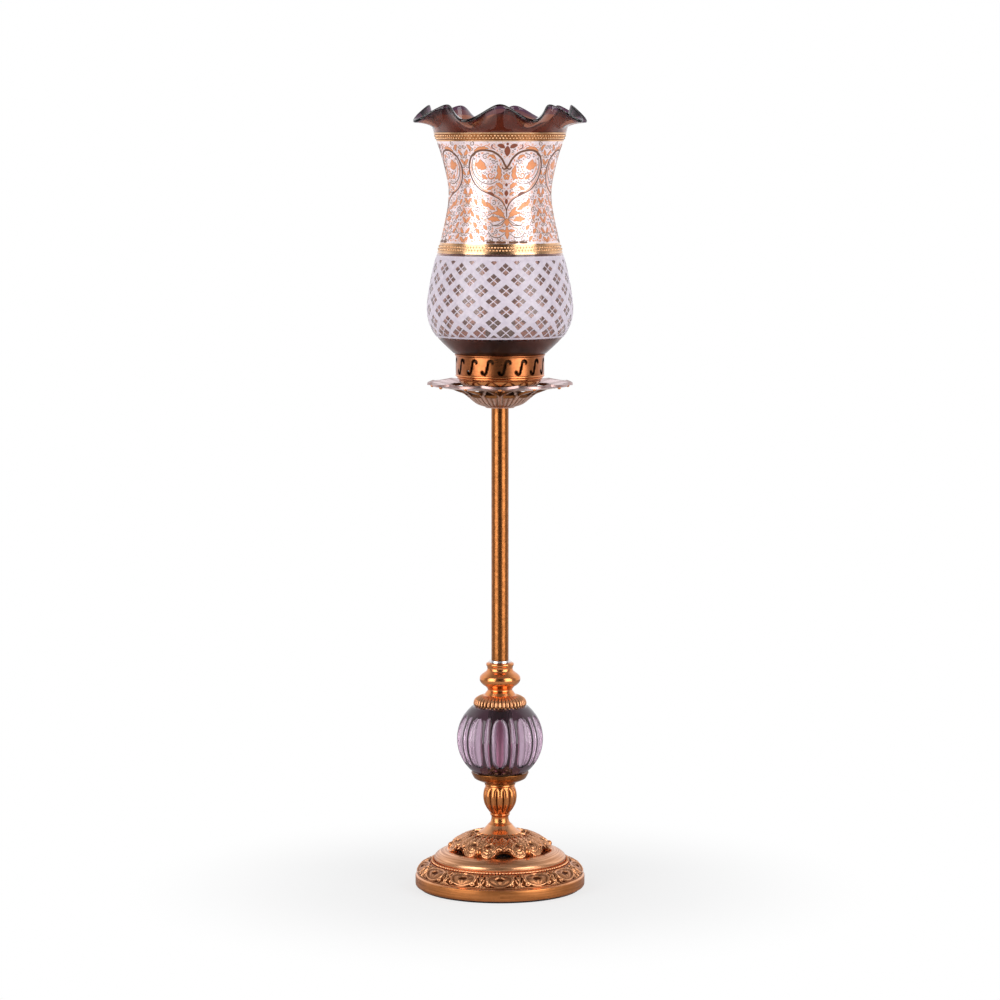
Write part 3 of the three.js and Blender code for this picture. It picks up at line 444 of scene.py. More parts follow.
ribbed_brass = brass(
    "ribbed_brass", (0.74, 0.27, 0.09), (0.09, 0.025, 0.006),
    hollows=0.9, clouds=0.3, polish=0.22, dullness=0.45,
)
spun_brass = brass(
    "spun_brass", (0.50, 0.165, 0.058), (0.06, 0.017, 0.005),
    spacing=0.8, mark_depth=0.03, length=0.6,
    hollows=0.9, clouds=0.5, cloud_size=5, polish=0.27, dullness=0.45,
)
pale_brass = brass(
    "pale_brass", (0.93, 0.67, 0.66), (0.12, 0.04, 0.014),
    hollows=0.9, clouds=0.3, polish=0.22, dullness=0.4,
)
bowl_brass = brass(
    "bowl_brass", (0.95, 0.58, 0.44), (0.16, 0.06, 0.02),
    hollows=0.9, clouds=0.5, cloud_size=3, polish=0.22,
)
# Near-black brass for the candle cup and the locating ring: their own dark tone with painted shade over it.
dark_brass_and_shade = brass(
    "dark_brass_and_shade", (0.06, 0.025, 0.012), (0.02, 0.01, 0.006),
    hollows=0.0, clouds=0.4, polish=0.4,
)
silvered = brass(
    "silvered", (0.86, 0.84, 0.84), (0.45, 0.42, 0.42),
    hollows=0.0, clouds=0.2, polish=0.16,
)
gilding = brass(
    "gilding", (0.96, 0.60, 0.34), (0.30, 0.10, 0.025),
    spacing=0.4, mark_depth=0.02,
    hollows=0.8, clouds=0.35, cloud_size=3, polish=0.16, dullness=0.4,
)
steel = brass(
    "steel", (0.55, 0.55, 0.57), (0.25, 0.24, 0.24),
    hollows=0.0, clouds=0.4, polish=0.3,
)
iron = brass(
    "iron", (0.12, 0.12, 0.13), (0.05, 0.045, 0.04),
    hollows=0.0, clouds=0.5, polish=0.55, dullness=0.75,
)
print("a brass finish has", len(cast_brass.node_tree.nodes), "nodes beside its groups")

# %% [markdown]
# The crystal is clear glass with a thin flashed layer of amethyst, so its colour is light where it is cut.
# Glass needs a full transmission and a plain index of refraction, and the colour filters what passes.
# The cut bands are left rough from the wheel, and scatter the light as frost does.

# %% Crystal, frost, enamel and print
shade_low = low("crystal_shade")
CUT_LOW = shade_low + 15.3
CLEAR_TOP = shade_low + 165.7


def crystal(name, clear, dark, streaks, cut_from=0.0, cut_to=1.0, transmission=1.0):
    """Glass that is clear between two heights, in metres, and dark below and above them."""
    material, tree, inputs = new_material(name, {"Transmission Weight": transmission, "IOR": 1.5})
    colours = {"Clear": (*clear, 1), "Dark": (*dark, 1), "Streaks": streaks}
    skin = group_node(tree, crystal_colour, {**colours, "Cut from": cut_from, "Cut to": cut_to})
    tree.links.new(skin["Color"], inputs["Base Color"])
    tree.links.new(skin["Roughness"], inputs["Roughness"])
    return material


def printed(name, light, dark, scale, depth, plain):
    """A thin printed or frosted layer with a fine grain in its colour and its surface."""
    material, tree, inputs = new_material(name, plain)
    grain = cloud_noise(tree, own_place(tree), scale, 4.0)
    tree.links.new(blend(tree, grain, (*light, 1), (*dark, 1)), inputs["Base Color"])
    bump(tree, inputs, grain, depth)
    return material


cut = (CUT_LOW * MM, CLEAR_TOP * MM)
amethyst = crystal("amethyst_crystal", (0.66, 0.46, 0.42), (0.30, 0.115, 0.075), 0.1, *cut)
# The rolled edge of the lip gets near-black glass: a painted dark line, standing in for the shade that the
# round edge shows.
rim_crystal = crystal("rim_crystal", (0.10, 0.045, 0.08), (0.05, 0.02, 0.04), 0.4)
# The pane glass is a fifth matt in its own colour: painted light for the light that would reach the panes
# through the shade.
pane_crystal = crystal("pane_crystal", (0.66, 0.46, 0.41), (0.26, 0.11, 0.07), 0.1, *cut, transmission=0.8)
ball_crystal = crystal("ball_crystal", (0.50, 0.35, 0.46), (0.007, 0.0018, 0.003), 0.05)
FROST_LOOK = {"Roughness": 0.4, "Transmission Weight": 0.25, "IOR": 1.5}
GOLD_PRINT = {"Roughness": 0.35, "Metallic": 0.3}
frost = printed("frosted_cut", (0.96, 0.87, 0.95), (0.58, 0.50, 0.60), 330, 0.12, FROST_LOOK)
scroll_gold = printed("scroll_gold", (0.86, 0.36, 0.17), (0.66, 0.22, 0.08), 700, 0.03, GOLD_PRINT)
scroll_line = printed("scroll_line", (0.20, 0.11, 0.06), (0.10, 0.05, 0.03), 700, 0.02, {"Roughness": 0.45})
# Dark brown for the heart's outline and leaf, and for two bars that paint a reflection of the shade's inside.
scroll_dark = printed("scroll_dark", (0.20, 0.075, 0.03), (0.09, 0.03, 0.014), 700, 0.02, {"Roughness": 0.4})
scroll_red = printed("scroll_red", (0.28, 0.07, 0.03), (0.18, 0.04, 0.02), 700, 0.02, {"Roughness": 0.35})

PEARL_LOOK = {"Roughness": 0.3, "Metallic": 0.4, "Coat Weight": 0.5}
PEARL_LIGHT, PEARL_WARM = (0.96, 0.86, 0.92, 1), (0.88, 0.68, 0.68, 1)
LACE = [(150.0, 0.03, (0.80, 0.42, 0.22, 1)), (220.0, 0.02, (0.50, 0.36, 0.34, 1))]
LACE_STRENGTH = 0.62


def make_pearl():
    """A lustrous ground with a lace of very fine gold lines, which follow the contours of a noise."""
    material, tree, inputs = new_material("pearl_enamel", PEARL_LOOK)
    place = own_place(tree)
    cloud = cloud_noise(tree, place, 60.0, 2.0)
    colour = blend(tree, cloud, PEARL_LIGHT, PEARL_WARM)
    for scale, thickness, tint in LACE:
        noise = cloud_noise(tree, place, scale, 1.0, Distortion=1.2)
        away = calc(tree, "ABSOLUTE", calc(tree, "SUBTRACT", noise, 0.5))
        edge = {"Value": away, "From Min": thickness, "From Max": thickness * 0.4}
        line = put(tree, "ShaderNodeMapRange", edge).outputs[0]
        colour = blend(tree, calc(tree, "MULTIPLY", line, LACE_STRENGTH), colour, tint)
    tree.links.new(colour, inputs["Base Color"])
    bump(tree, inputs, cloud, 0.05)
    return material


pearl = make_pearl()
cork = printed("cork", (0.36, 0.20, 0.10), (0.16, 0.08, 0.04), 1400, 0.3, {"Roughness": 0.95})
felt = printed("felt", (0.035, 0.03, 0.035), (0.015, 0.012, 0.015), 3000, 0.4, {"Roughness": 1.0})
print("materials in all:", len(bpy.data.materials))

# %% [markdown]
# Nearly every piece of a lamp is round, so it starts as an outline of radius and height turned on the axis.
# Where a pattern repeats, only one sector is made, and a node tree sets it round the axis.
# The helpers below draw outlines in millimetres, as a turner does, and angle 0 is the front.


# %% Outlines
def mix(a, b, share):
    return a + (b - a) * share


def smooth(points, steps=8):
    """Points of a smooth curve through the given ones."""
    known = np.array(points, float)
    padded = np.vstack([known[:1], known, known[-1:]])
    t = np.linspace(0, 1, steps, endpoint=False)[:, None]
    spans = []
    for a, b, c, d in zip(padded, padded[1:], padded[2:], padded[3:]):
        leave, arrive = (c - a) / 2, (d - b) / 2
        cubed = 2 * b - 2 * c + leave + arrive
        squared = 3 * c - 3 * b - 2 * leave - arrive
        spans.append(cubed * t**3 + squared * t**2 + leave * t + b)
    return [tuple(p) for p in np.vstack([*spans, known[-1:]])]


def profile(points, bottom, top, steps):
    """A smooth outline from pairs of a radius and a share of the height."""
    return smooth([(r, mix(bottom, top, share)) for r, share in points], steps)


def bow(start, knee, end, share):
    """A place on the curve that leaves its start towards the knee and reaches its end from there."""
    rest = 1 - share
    return tuple(rest**2 * a + 2 * share * rest * b + share**2 * c for a, b, c in zip(start, knee, end))


def arc(centre_r, centre_z, radius, start, end, steps=8):
    """Points of a round stretch, angles in degrees."""
    angles = np.radians(np.linspace(start, end, steps + 1))
    return [(centre_r + radius * math.cos(a), centre_z + radius * math.sin(a)) for a in angles]


def box_outline(inner, outer, bottom, top, chamfer=0.3):
    """A ring's section with its corners taken off."""
    c = chamfer
    return [
        (inner + c, bottom),
        (outer - c, bottom),
        (outer, bottom + c),
        (outer, top - c),
        (outer - c, top),
        (inner + c, top),
        (inner, top - c),
        (inner, bottom + c),
    ]


print("a smooth curve through 3 points has", len(smooth([(0, 0), (1, 1), (2, 0)])), "points")


# %% Turning an outline
def add_mesh(name, places, faces):
    """A mesh object from places in millimetres."""
    mesh = bpy.data.meshes.new(name)
    mesh.from_pydata((np.asarray(places).reshape(-1, 3) * MM).tolist(), [], [tuple(f) for f in faces])
    thing = bpy.data.objects.new(name, mesh)
    bpy.context.scene.collection.objects.link(thing)
    return thing


def on_points(thing, name, values):
    """Stores a number on every point of a mesh."""
    attribute = thing.data.attributes.new(name, "FLOAT", "POINT")
    attribute.data.foreach_set("value", np.asarray(values, np.float32).ravel())


def grid_faces(columns, rows, closed_columns, closed_rows):
    """Quads of a grid whose points run along the rows first."""
    i = np.arange(columns if closed_columns else columns - 1)[:, None]
    j = np.arange(rows if closed_rows else rows - 1)[None, :]
    right = (i + 1) % columns
    up = (j + 1) % rows
    quads = np.stack([i * rows + j, right * rows + j, right * rows + up, i * rows + up], axis=-1)
    return quads.reshape(-1, 4).tolist()


def turned(name, outline, columns, sweep=360.0, start=0.0, carve=None):
    """A closed outline turned about the axis. carve moves the points and says how high each one lies."""
    line = np.array(outline, float)
    following = np.roll(line, -1, axis=0)
    if np.sum(line[:, 0] * following[:, 1] - following[:, 0] * line[:, 1]) < 0:
        raise ValueError(name + ": the outline runs the wrong way round")
    whole = sweep == 360.0
    count = columns if whole else columns + 1
    angle = np.radians(start + sweep * np.arange(count) / columns)[:, None]
    along = following - np.roll(line, 1, axis=0)
    along /= np.linalg.norm(along, axis=1)[:, None]
    reached = np.concatenate([[0], np.cumsum(np.linalg.norm(np.diff(line, axis=0), axis=1))])
    r = np.repeat(line[None, :, 0], count, axis=0)
    z = np.repeat(line[None, :, 1], count, axis=0)
    relief = np.ones_like(r)
    if carve:
        r, z, relief = carve(r, z, angle, reached[None, :], along[None, :, 1], -along[None, :, 0])
    places = np.stack([r * np.sin(angle), -r * np.cos(angle), z + 0 * angle], axis=-1)
    thing = add_mesh(name, places, grid_faces(count, len(line), whole, True))
    on_points(thing, "relief", relief + 0 * r)
    return thing


def sector(name, outline, columns, count, carve):
    """One of count equal sectors, with its middle at the front."""
    unit = 360 / count
    return turned(name, outline, columns, sweep=unit, start=-unit / 2, carve=carve)


print("a ring of 4 columns and 4 rows has", len(grid_faces(4, 4, True, True)), "faces")

# %% [markdown]
# Flutes, leaves, beads and slots come back at even steps round the lamp.
# One Geometry Nodes tree takes any sector or unit, sets copies round the axis and welds them at their seams.
# Its inputs are named, so each piece only says how many copies there are and what they are made of.

# %% Tree that repeats a unit round the axis
SHAPE, MATERIAL, WHOLE = "NodeSocketGeometry", "NodeSocketMaterial", "NodeSocketInt"


def make_repeat_tree():
    inputs = [("Geometry", SHAPE, None), ("Count", WHOLE, 8), ("First angle", FLOAT, 0.0)]
    inputs += [("Weld", FLOAT, 0.00001), ("Material", MATERIAL, None)]
    tree, given, result = new_group("repeat_round_axis", "GeometryNodeTree", inputs, [("Geometry", SHAPE)])
    tree.is_modifier = True
    places = put(tree, "GeometryNodePoints", {"Count": given["Count"]})
    step = calc(tree, "DIVIDE", 2 * math.pi, given["Count"])
    index = put(tree, "GeometryNodeInputIndex").outputs[0]
    angle = calc(tree, "MULTIPLY_ADD", index, step, given["First angle"])
    turn = put(tree, "FunctionNodeAxisAngleToRotation", {"Axis": (0, 0, 1), "Angle": angle})
    copies = put(
        tree,
        "GeometryNodeInstanceOnPoints",
        {"Points": places.outputs[0], "Instance": given["Geometry"], "Rotation": turn.outputs[0]},
    )
    real = put(tree, "GeometryNodeRealizeInstances", {"Geometry": copies.outputs[0]})
    seams = {"Geometry": real.outputs[0], "Distance": given["Weld"]}
    welded = put(tree, "GeometryNodeMergeByDistance", seams)
    finish = {"Geometry": welded.outputs[0], "Material": given["Material"]}
    painted = put(tree, "GeometryNodeSetMaterial", finish)
    tree.links.new(painted.outputs[0], result["Geometry"])
    return tree


repeat_round_axis = make_repeat_tree()
print("tree", repeat_round_axis.name, "with", len(repeat_round_axis.nodes), "nodes")


# %% Running a tree and finishing a piece
def use_tree(thing, tree, values):
    """Adds the tree to a piece. Inputs are set before the piece is evaluated for the first time."""
    modifier = thing.modifiers.new(tree.name, "NODES")
    modifier.node_group = tree
    for item in tree.interface.items_tree:
        if item.item_type == "SOCKET" and item.in_out == "INPUT" and item.name in values:
            modifier[item.identifier] = values[item.name]


def settle(thing, sharp=40.0):
    """Turns the evaluated result into a plain mesh, shaded smooth but for its sharp edges."""
    evaluated = thing.evaluated_get(bpy.context.evaluated_depsgraph_get())
    mesh = bpy.data.meshes.new_from_object(evaluated)
    thing.modifiers.clear()
    thing.data = mesh
    mesh.name = thing.name
    mesh.polygons.foreach_set("use_smooth", np.ones(len(mesh.polygons), bool))
    mesh.set_sharp_from_angle(angle=math.radians(sharp))
    return thing


def repeated(thing, count, material, first=0.0, weld=0.01, sharp=40.0):
    """Copies of a unit round the axis, as one plain mesh."""
    values = {"Count": count, "First angle": math.radians(first), "Weld": weld * MM, "Material": material}
    use_tree(thing, repeat_round_axis, values)
    return settle(thing, sharp)


def dress(thing, body="stand", replaced=(), material=None, sharp=40.0):
    """Sets the finish if one is given, hangs the piece on its body and hides the frame parts it replaces."""
    if material:
        thing.data.materials.clear()
        thing.data.materials.append(material)
        settle(thing, sharp)
    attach(thing, body)
    if replaced:
        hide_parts(*replaced)
    print(f"{thing.name}: {len(thing.data.polygons)} faces")
    return thing


def also_in(thing, finish, bottom, top):
    """Gives the faces between two heights another finish."""
    thing.data.materials.append(finish)
    for face in thing.data.polygons:
        if bottom < face.center.z / MM < top:
            face.material_index = len(thing.data.materials) - 1


# %% [markdown]
# The felt, gaskets, sleeve, spacer and washer are plain rings, punched or parted off on a lathe.
# Their places come straight from the frame, and a small chamfer catches the light as a real edge does.
# The hidden hardware keeps its frame solids and only gets a better finish.


# %% Plain rings and hidden hardware
ROD_BORE, BALL_BORE, TUBE_BORE, FELT_BORE = 5.35, 7.25, 6.3, 0.4
PLAIN_RINGS = {
    "felt_pad": (FELT_BORE, felt, "felt", 96),
    "lower_gasket": (BALL_BORE, cork, "cork", 48),
    "upper_gasket": (BALL_BORE, cork, "cork", 48),
    "ball_sleeve": (ROD_BORE, pale_brass, "pale_brass", 48),
    "gallery_spacer": (ROD_BORE, turned_brass, "turned_brass", 48),
    "stem_washer": (ROD_BORE, silvered, "silvered", 64),
    "stem_tube": (TUBE_BORE, aged_brass, "aged_brass", 64),
}
for node, (bore, finish, slot, columns) in PLAIN_RINGS.items():
    outline = box_outline(bore, reach(node), low(node), high(node))
    dress(turned(node + "_fine", outline, columns), replaced=[node], material=finish)

HIDDEN = {"tie_rod": steel, "rod_nut": steel, "lock_washer": steel, "clamp_washer": steel, "ballast": iron}
HIDDEN.update({"stem_bush_lower": turned_brass, "stem_bush_upper": turned_brass})
for node, finish in HIDDEN.items():
    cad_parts[node].data.materials.clear()
    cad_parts[node].data.materials.append(finish)

# %% [markdown]
# Cast ornament is a low relief: rounded ridges and bosses that stand on a ground.
# The relief is worked out as a height over the unrolled surface, ridge by ridge, and the highest one wins.
# That keeps it real geometry, so the carving also shows in the outline and in the exported mesh.


# %% Drawing relief
def ridge(x, y, path, half_width, height, taper=0.0):
    """Height of a rounded ridge along a path. taper narrows it towards the path's end."""
    best = np.zeros(np.broadcast(x, y).shape)
    points = np.array(path, float)
    last = len(points) - 1
    for i in range(last):
        (x0, y0), (dx, dy) = points[i], points[i + 1] - points[i]
        share = np.clip(((x - x0) * dx + (y - y0) * dy) / (dx * dx + dy * dy), 0, 1)
        distance = np.hypot(x - x0 - share * dx, y - y0 - share * dy)
        width = half_width * (1 - taper * (i + share) / last)
        best = np.maximum(best, height * np.sqrt(np.clip(1 - (distance / width) ** 2, 0, 1)))
    return best


def boss(x, y, centre, radii, height):
    """A round or oval button."""
    share = ((x - centre[0]) / radii[0]) ** 2 + ((y - centre[1]) / radii[1]) ** 2
    return height * np.sqrt(np.clip(1 - share, 0, 1))


def spiral(centre, radius, turns, start, hand=1, steps=20, core=0.12):
    """Points of a curl that winds in to its centre."""
    shares = np.linspace(0, 1, steps)
    angles = np.radians(start) + hand * 2 * np.pi * turns * shares
    radii = radius * (1 - (1 - core) * shares)
    return [(centre[0] + r * math.cos(a), centre[1] + r * math.sin(a)) for r, a in zip(radii, angles)]


test = boss(np.array([0.0]), np.array([0.0]), (0, 0), (1, 1), 2.0)
print("a boss is", test[0], "mm high at its centre")

# %% [markdown]
# The plinth is one casting: a plain band at the bottom and a rounded frieze of shell cartouches above it.
# The frieze has thirteen cartouches in C-scroll frames, with a leaf sprig between each two.
# One sector is carved as relief on the turned outline, then repeated round the axis.

# %% Plinth with its frieze
CARTOUCHES = 13
FRIEZE_HEIGHT = 1.5
plinth_r, plinth_low, plinth_high = reach("base_plinth"), low("base_plinth"), high("base_plinth")
step_r = reach("base_step")
frieze_inner = step_r + 3.0
rim_top = plinth_low + 9.9
groove_z = plinth_high - 0.9
OVAL_HALF_WIDE, OVAL_HALF_TALL, OVAL_MIDDLE = 11.3, 6.6, 8.6
SPRIG = 16.4


def frieze_relief(x, y):
    """Height of one cartouche and half a sprig at each side. y runs up the frieze from its lower edge."""
    side = np.abs(x)
    oval = np.sqrt((x / OVAL_HALF_WIDE) ** 2 + ((y - OVAL_MIDDLE) / OVAL_HALF_TALL) ** 2)
    flutes = 0.55 + 0.45 * np.abs(np.cos(4.5 * np.arctan2(x, y - 1.5)))
    shell = np.where(oval < 1, 0.75 * np.sqrt(np.clip(1 - oval**2, 0, 1)) * flutes, 0)
    edging = np.sqrt(np.clip(1 - ((oval - 1) / 0.13) ** 2, 0, 1))
    hollow = np.clip(1 - ((x / 4.2) ** 2 + ((y - 9.2) / 2.2) ** 2), 0, 1)
    borders = np.exp(-(((y - 0.8) / 0.6) ** 2)) + np.exp(-(((y - 16.6) / 0.7) ** 2))
    parts = [
        np.maximum(np.maximum(shell, edging) - 0.9 * np.sqrt(hollow), 0),
        ridge(x, y, smooth([(-5, 9.2), (0, 12.2), (5, 9.2)], 6), 0.7, 0.9),
        ridge(side, y, spiral((10.8, 12.6), 2.3, 1.2, 200, -1), 0.75, 1.0),
        ridge(side, y, spiral((10.6, 4.0), 2.1, 1.2, 160, 1), 0.7, 0.95),
        boss(side, y, (10.8, 12.6), (0.9, 0.9), 1.1),
        ridge(side, y, smooth([(SPRIG, 1.5), (14.6, 2.2), (13.2, 1.0)], 5), 0.8, 0.8, 0.3),
        boss(side, y, (SPRIG, 11.2), (1.3, 1.3), 1.05),
        0.55 * borders,
    ]
    for foot, tip, width in ((2, (SPRIG, 15.5), 1.0), (4, (13.2, 8.5), 0.9), (8, (13.4, 15), 0.9)):
        bend = (mix(SPRIG, tip[0], 0.6) + 0.3, mix(foot, tip[1], 0.35))
        parts.append(ridge(side, y, smooth([(SPRIG, foot), bend, tip], 5), width, 0.95, 0.5))
    return np.maximum.reduce(parts)


def make_plinth():
    width = plinth_r - frieze_inner
    rise = groove_z - rim_top
    shape = [(0.1, 0.1), (0.18, 0.42), (0.46, 0.8)]
    controls = [(plinth_r - a * width, rim_top + b * rise) for a, b in shape]
    frieze = smooth([*controls, (frieze_inner, groove_z + 0.3)], 13)
    rim = arc(plinth_r - 2.4, plinth_low + 2.4, 2.4, -80, 0, 6)
    rim += arc(plinth_r - 0.8, rim_top - 0.8, 0.8, 0, 80, 4)
    hidden = [
        (frieze_inner - 0.2, groove_z),
        (step_r, groove_z),
        (step_r - 0.3, plinth_high),
        (step_r - 8, plinth_high),
        (step_r - 8, plinth_high - 3),
        (plinth_r - 11, rim_top - 0.4),
        (plinth_r - 5, rim_top - 0.4),
        (plinth_r - 5, plinth_low),
    ]
    outline = [*rim, *frieze, *hidden]
    first, last = len(rim), len(rim) + len(frieze) - 1

    def carve(r, z, angle, reached, out_r, out_z):
        y = reached - reached[:, first : first + 1]
        on_frieze = np.zeros_like(reached)
        on_frieze[:, first + 1 : last] = 1
        h = FRIEZE_HEIGHT * frieze_relief(angle * r, y + 0 * angle) * on_frieze
        relief = np.where(on_frieze > 0, np.clip(h / FRIEZE_HEIGHT, 0, 1), 1.0)
        return r + (h - 0.5 * on_frieze) * out_r, z + (h - 0.5 * on_frieze) * out_z, relief

    plinth = sector("plinth_fine", outline, 60, CARTOUCHES, carve)
    repeated(plinth, CARTOUCHES, cast_brass, sharp=60)
    also_in(plinth, rim_brass, plinth_low, rim_top - 0.1)
    dress(plinth, replaced=["base_plinth"])


make_plinth()

# %% [markdown]
# A beaded wire lies in the groove between the plinth and the step.
# It is a row of small balls pressed from wire, so one bead on a short length of wire is the unit.
# A bead that comes back more than a hundred times has only a few dozen faces.


# %% Bead wire
def bead(name, radius, centre_r, centre_z, segments=8, rings=6):
    """A small ball at the front."""
    round_it = np.linspace(0, 2 * np.pi, segments, endpoint=False)
    places = [(0, 0, -radius)]
    for t in np.linspace(0, math.pi, rings + 1)[1:-1]:
        r, z = radius * math.sin(t), -radius * math.cos(t)
        places += [(r * math.cos(a), r * math.sin(a), z) for a in round_it]
    places.append((0, 0, radius))
    faces = [(0, 1 + (i + 1) % segments, 1 + i) for i in range(segments)]
    for ring in range(rings - 2):
        a, b = 1 + ring * segments, 1 + (ring + 1) * segments
        faces += [(a + i, a + (i + 1) % segments, b + (i + 1) % segments, b + i) for i in range(segments)]
    top, last = len(places) - 1, 1 + (rings - 2) * segments
    faces += [(last + i, last + (i + 1) % segments, top) for i in range(segments)]
    thing = add_mesh(name, np.array(places) + (0, -centre_r, centre_z), faces)
    on_points(thing, "relief", np.ones(len(places)))
    return thing


BEAD_RADIUS, WIRE_RADIUS = 1.32, 0.8
BEADS = 132
bead_ring_r = step_r + 1.65
bead_z = groove_z + 1.35
beads = repeated(bead("bead_wire_fine", BEAD_RADIUS, bead_ring_r, bead_z), BEADS, cast_brass, sharp=80)
dress(beads, replaced=["bead_wire"])
core = turned("bead_wire_core", arc(bead_ring_r, bead_z, WIRE_RADIUS, 0, 330, 11), 96)
dress(core, material=cast_brass)

# %% [markdown]
# The step is turned and then brushed while it spins, so it has fine rings and a soft sheen.
# Its crown is one smooth curve through five points, and everything else is in the brushed finish.

# %% Brushed step
dome_r = 44.2


def make_step():
    bottom, top = low("base_step"), high("base_step")
    rise = top - bottom
    crown = smooth(
        [
            (step_r - 0.2, bottom + 0.05),
            (step_r, bottom + 0.38 * rise),
            (mix(step_r, dome_r, 0.18), bottom + 0.65 * rise),
            (mix(step_r, dome_r, 0.48), bottom + 0.87 * rise),
            (mix(step_r, dome_r, 0.82), top),
        ],
        8,
    )
    hole, wall = 37.6, step_r - 4
    inner = [(hole, top), (hole, top - 2), (wall - 4, top - 4), (wall, bottom + 3), (wall, bottom)]
    return turned("step_fine", [*crown, *inner], 144)


dress(make_step(), replaced=["base_step"], material=brushed_brass)

# %% [markdown]
# The dome is the richest casting: upright leaves all round, and a ribbed lobe at each side of six arches.
# Its lower edge lifts off the step under every arch, and a round boss sits midway between two of them.
# The whole turns a few degrees, as it was assembled, so the front arch lies right of the middle.

# %% Leaf dome
LEAVES = 6
LEAF_TURN = 4.5
LEAF_HEIGHT = 1.5
dome_low, dome_high = low("base_dome"), high("base_dome")
cone_r = 19.0
dome_case = dome_high - dome_low - 6.9
ARCH_HALF, ARCH_RISE = 9.5, 4.0
LOBE_MIDDLE, LOBE_HALF, LOBE_SWELL = 18.5, 9.5, 1.5
DEGREE = math.pi / 180


def dome_relief(angle, y, r):
    """Height of one leaf unit over the angle in degrees and the way up the dome."""
    x = np.abs(angle) * DEGREE * r

    def line(points, width, height):
        path = [(p * DEGREE * mix(dome_r, 30, min(1, q / 24)), q) for p, q in points]
        return ridge(x, y, smooth(path, 6), width, height)

    def leaf(middle, lean, bottom, top, half, veins):
        share = np.clip((y - bottom) / (top - bottom), 0, 1)
        away = x - (middle + lean * share) * DEGREE * r
        width = half * np.sin(np.pi * np.clip(share, 0.001, 0.999) ** 0.75)
        body = np.sqrt(np.clip(1 - (away / np.maximum(width, 0.1)) ** 2, 0, 1))
        lines = np.abs(np.cos(np.pi * (np.abs(away) * 0.32 - share * veins)))
        return body * (0.45 + 0.5 * lines)

    aside, below = x - 18.7 * DEGREE * r, 10.2 - y
    shell = np.hypot(aside / 8.2, below / 10.0)
    rings = np.abs(np.cos(3.5 * np.pi * shell)) * (0.75 + 0.25 * np.abs(np.cos(9 * np.arctan2(aside, below))))
    fade = np.clip(1 - shell**2, 0, 1) ** 0.25 * np.clip((12 - y) / 3, 0, 1)
    parts = [
        leaf(0, 0, 6.4, 27, 6.5, 6),
        leaf(9, 4, 7.5, 24.5, 4.6, 5),
        leaf(30, 0, 8.5, 27, 6.0, 6),
        leaf(24, -5, 12.5, 26.5, 4.0, 4),
        (0.35 + 0.6 * rings) * fade,
        line([(0, 6.6), (5, 6.2), (9, 4.6), (12, 2.4), (14.5, 1.0)], 0.8, 1.0),
        line([(14.5, 1.0), (19, 0.7), (23.5, 1.2), (27, 3.4), (30, 6.6)], 0.9, 1.0),
        line([(11.4, 5.4), (10.5, 9.8), (13.5, 14.2), (19.5, 15.6), (25, 13.4), (26.6, 9.5)], 0.8, 1.0),
        0.8 * np.exp(-(((y - 28.2) / 0.7) ** 2)),
    ]
    return np.maximum.reduce(parts)


def make_dome():
    skin = smooth(
        [
            (dome_r, dome_low),
            (dome_r - 0.3, dome_low + 0.16 * dome_case),
            (mix(dome_r, cone_r, 0.16), dome_low + 0.47 * dome_case),
            (mix(dome_r, cone_r, 0.55), dome_low + 0.83 * dome_case),
            (cone_r, dome_low + dome_case),
        ],
        15,
    )
    knop_foot = 10.4
    cone = smooth([skin[-1], (mix(cone_r, knop_foot, 0.6), dome_high - 3.8), (knop_foot, dome_high)], 6)[1:]
    inner = dome_r - 3.6
    hidden = [
        (ROD_BORE, dome_high),
        (ROD_BORE, dome_high - 7),
        (cone_r, dome_low + dome_case - 3.6),
        (mix(inner, cone_r, 0.25), dome_low + 0.45 * dome_case),
        (inner, dome_low + 3),
        (inner, dome_low),
    ]
    outline = [*skin, *cone, *hidden]
    last = len(skin)
    skirt = dome_low + 0.42 * dome_case

    def carve(r, z, angle, reached, out_r, out_z):
        degrees = np.degrees(angle)
        carved = np.zeros_like(reached)
        carved[:, 1:last] = 1
        h = LEAF_HEIGHT * dome_relief(degrees, reached + 0 * angle, r) * carved
        relief = np.where(carved > 0, np.clip(0.15 + h / LEAF_HEIGHT, 0, 1), 1.0)
        relief[:, last:] = 1
        ease = np.clip((skirt - z) / (skirt - dome_low), 0, 1)
        arch = np.sqrt(np.clip(1 - (degrees / ARCH_HALF) ** 2, 0, 1))
        lobe = np.clip(1 - ((np.abs(degrees) - LOBE_MIDDLE) / LOBE_HALF) ** 2, 0, 1)
        on_skirt = r > inner - 0.1
        r = np.where(on_skirt, r + LOBE_SWELL * lobe * ease**2 - 0.5 * ease, r)
        z = np.where(on_skirt, z + ARCH_RISE * arch * ease, z)
        return r + (h - 0.6 * carved) * out_r, z + (h - 0.6 * carved) * out_z, relief

    dome = sector("dome_fine", outline, 100, LEAVES, carve)
    repeated(dome, LEAVES, cast_brass, first=LEAF_TURN, sharp=60)
    dress(dome, replaced=["base_dome"])


make_dome()
boss_ball = bead("dome_bosses", 2.6, dome_r - 1.2, dome_low + 4.2, 24, 14)
dress(repeated(boss_ball, LEAVES, turned_brass, first=LEAF_TURN + 180 / LEAVES, sharp=80))

# %% [markdown]
# Above the dome a fluted bulb stands on a turned neck, and a shallow dish carries the ball.
# The bulb's ribs are round and the valleys between them sharp, as a carver leaves them.
# The depth of the valleys fades at both ends of the bulb, so the ribs close in round ends.

# %% Knop and ball cup
KNOP_RIBS, KNOP_VALLEY = 14, 1.9
knop_low, knop_high = low("fluted_knop"), high("fluted_knop")


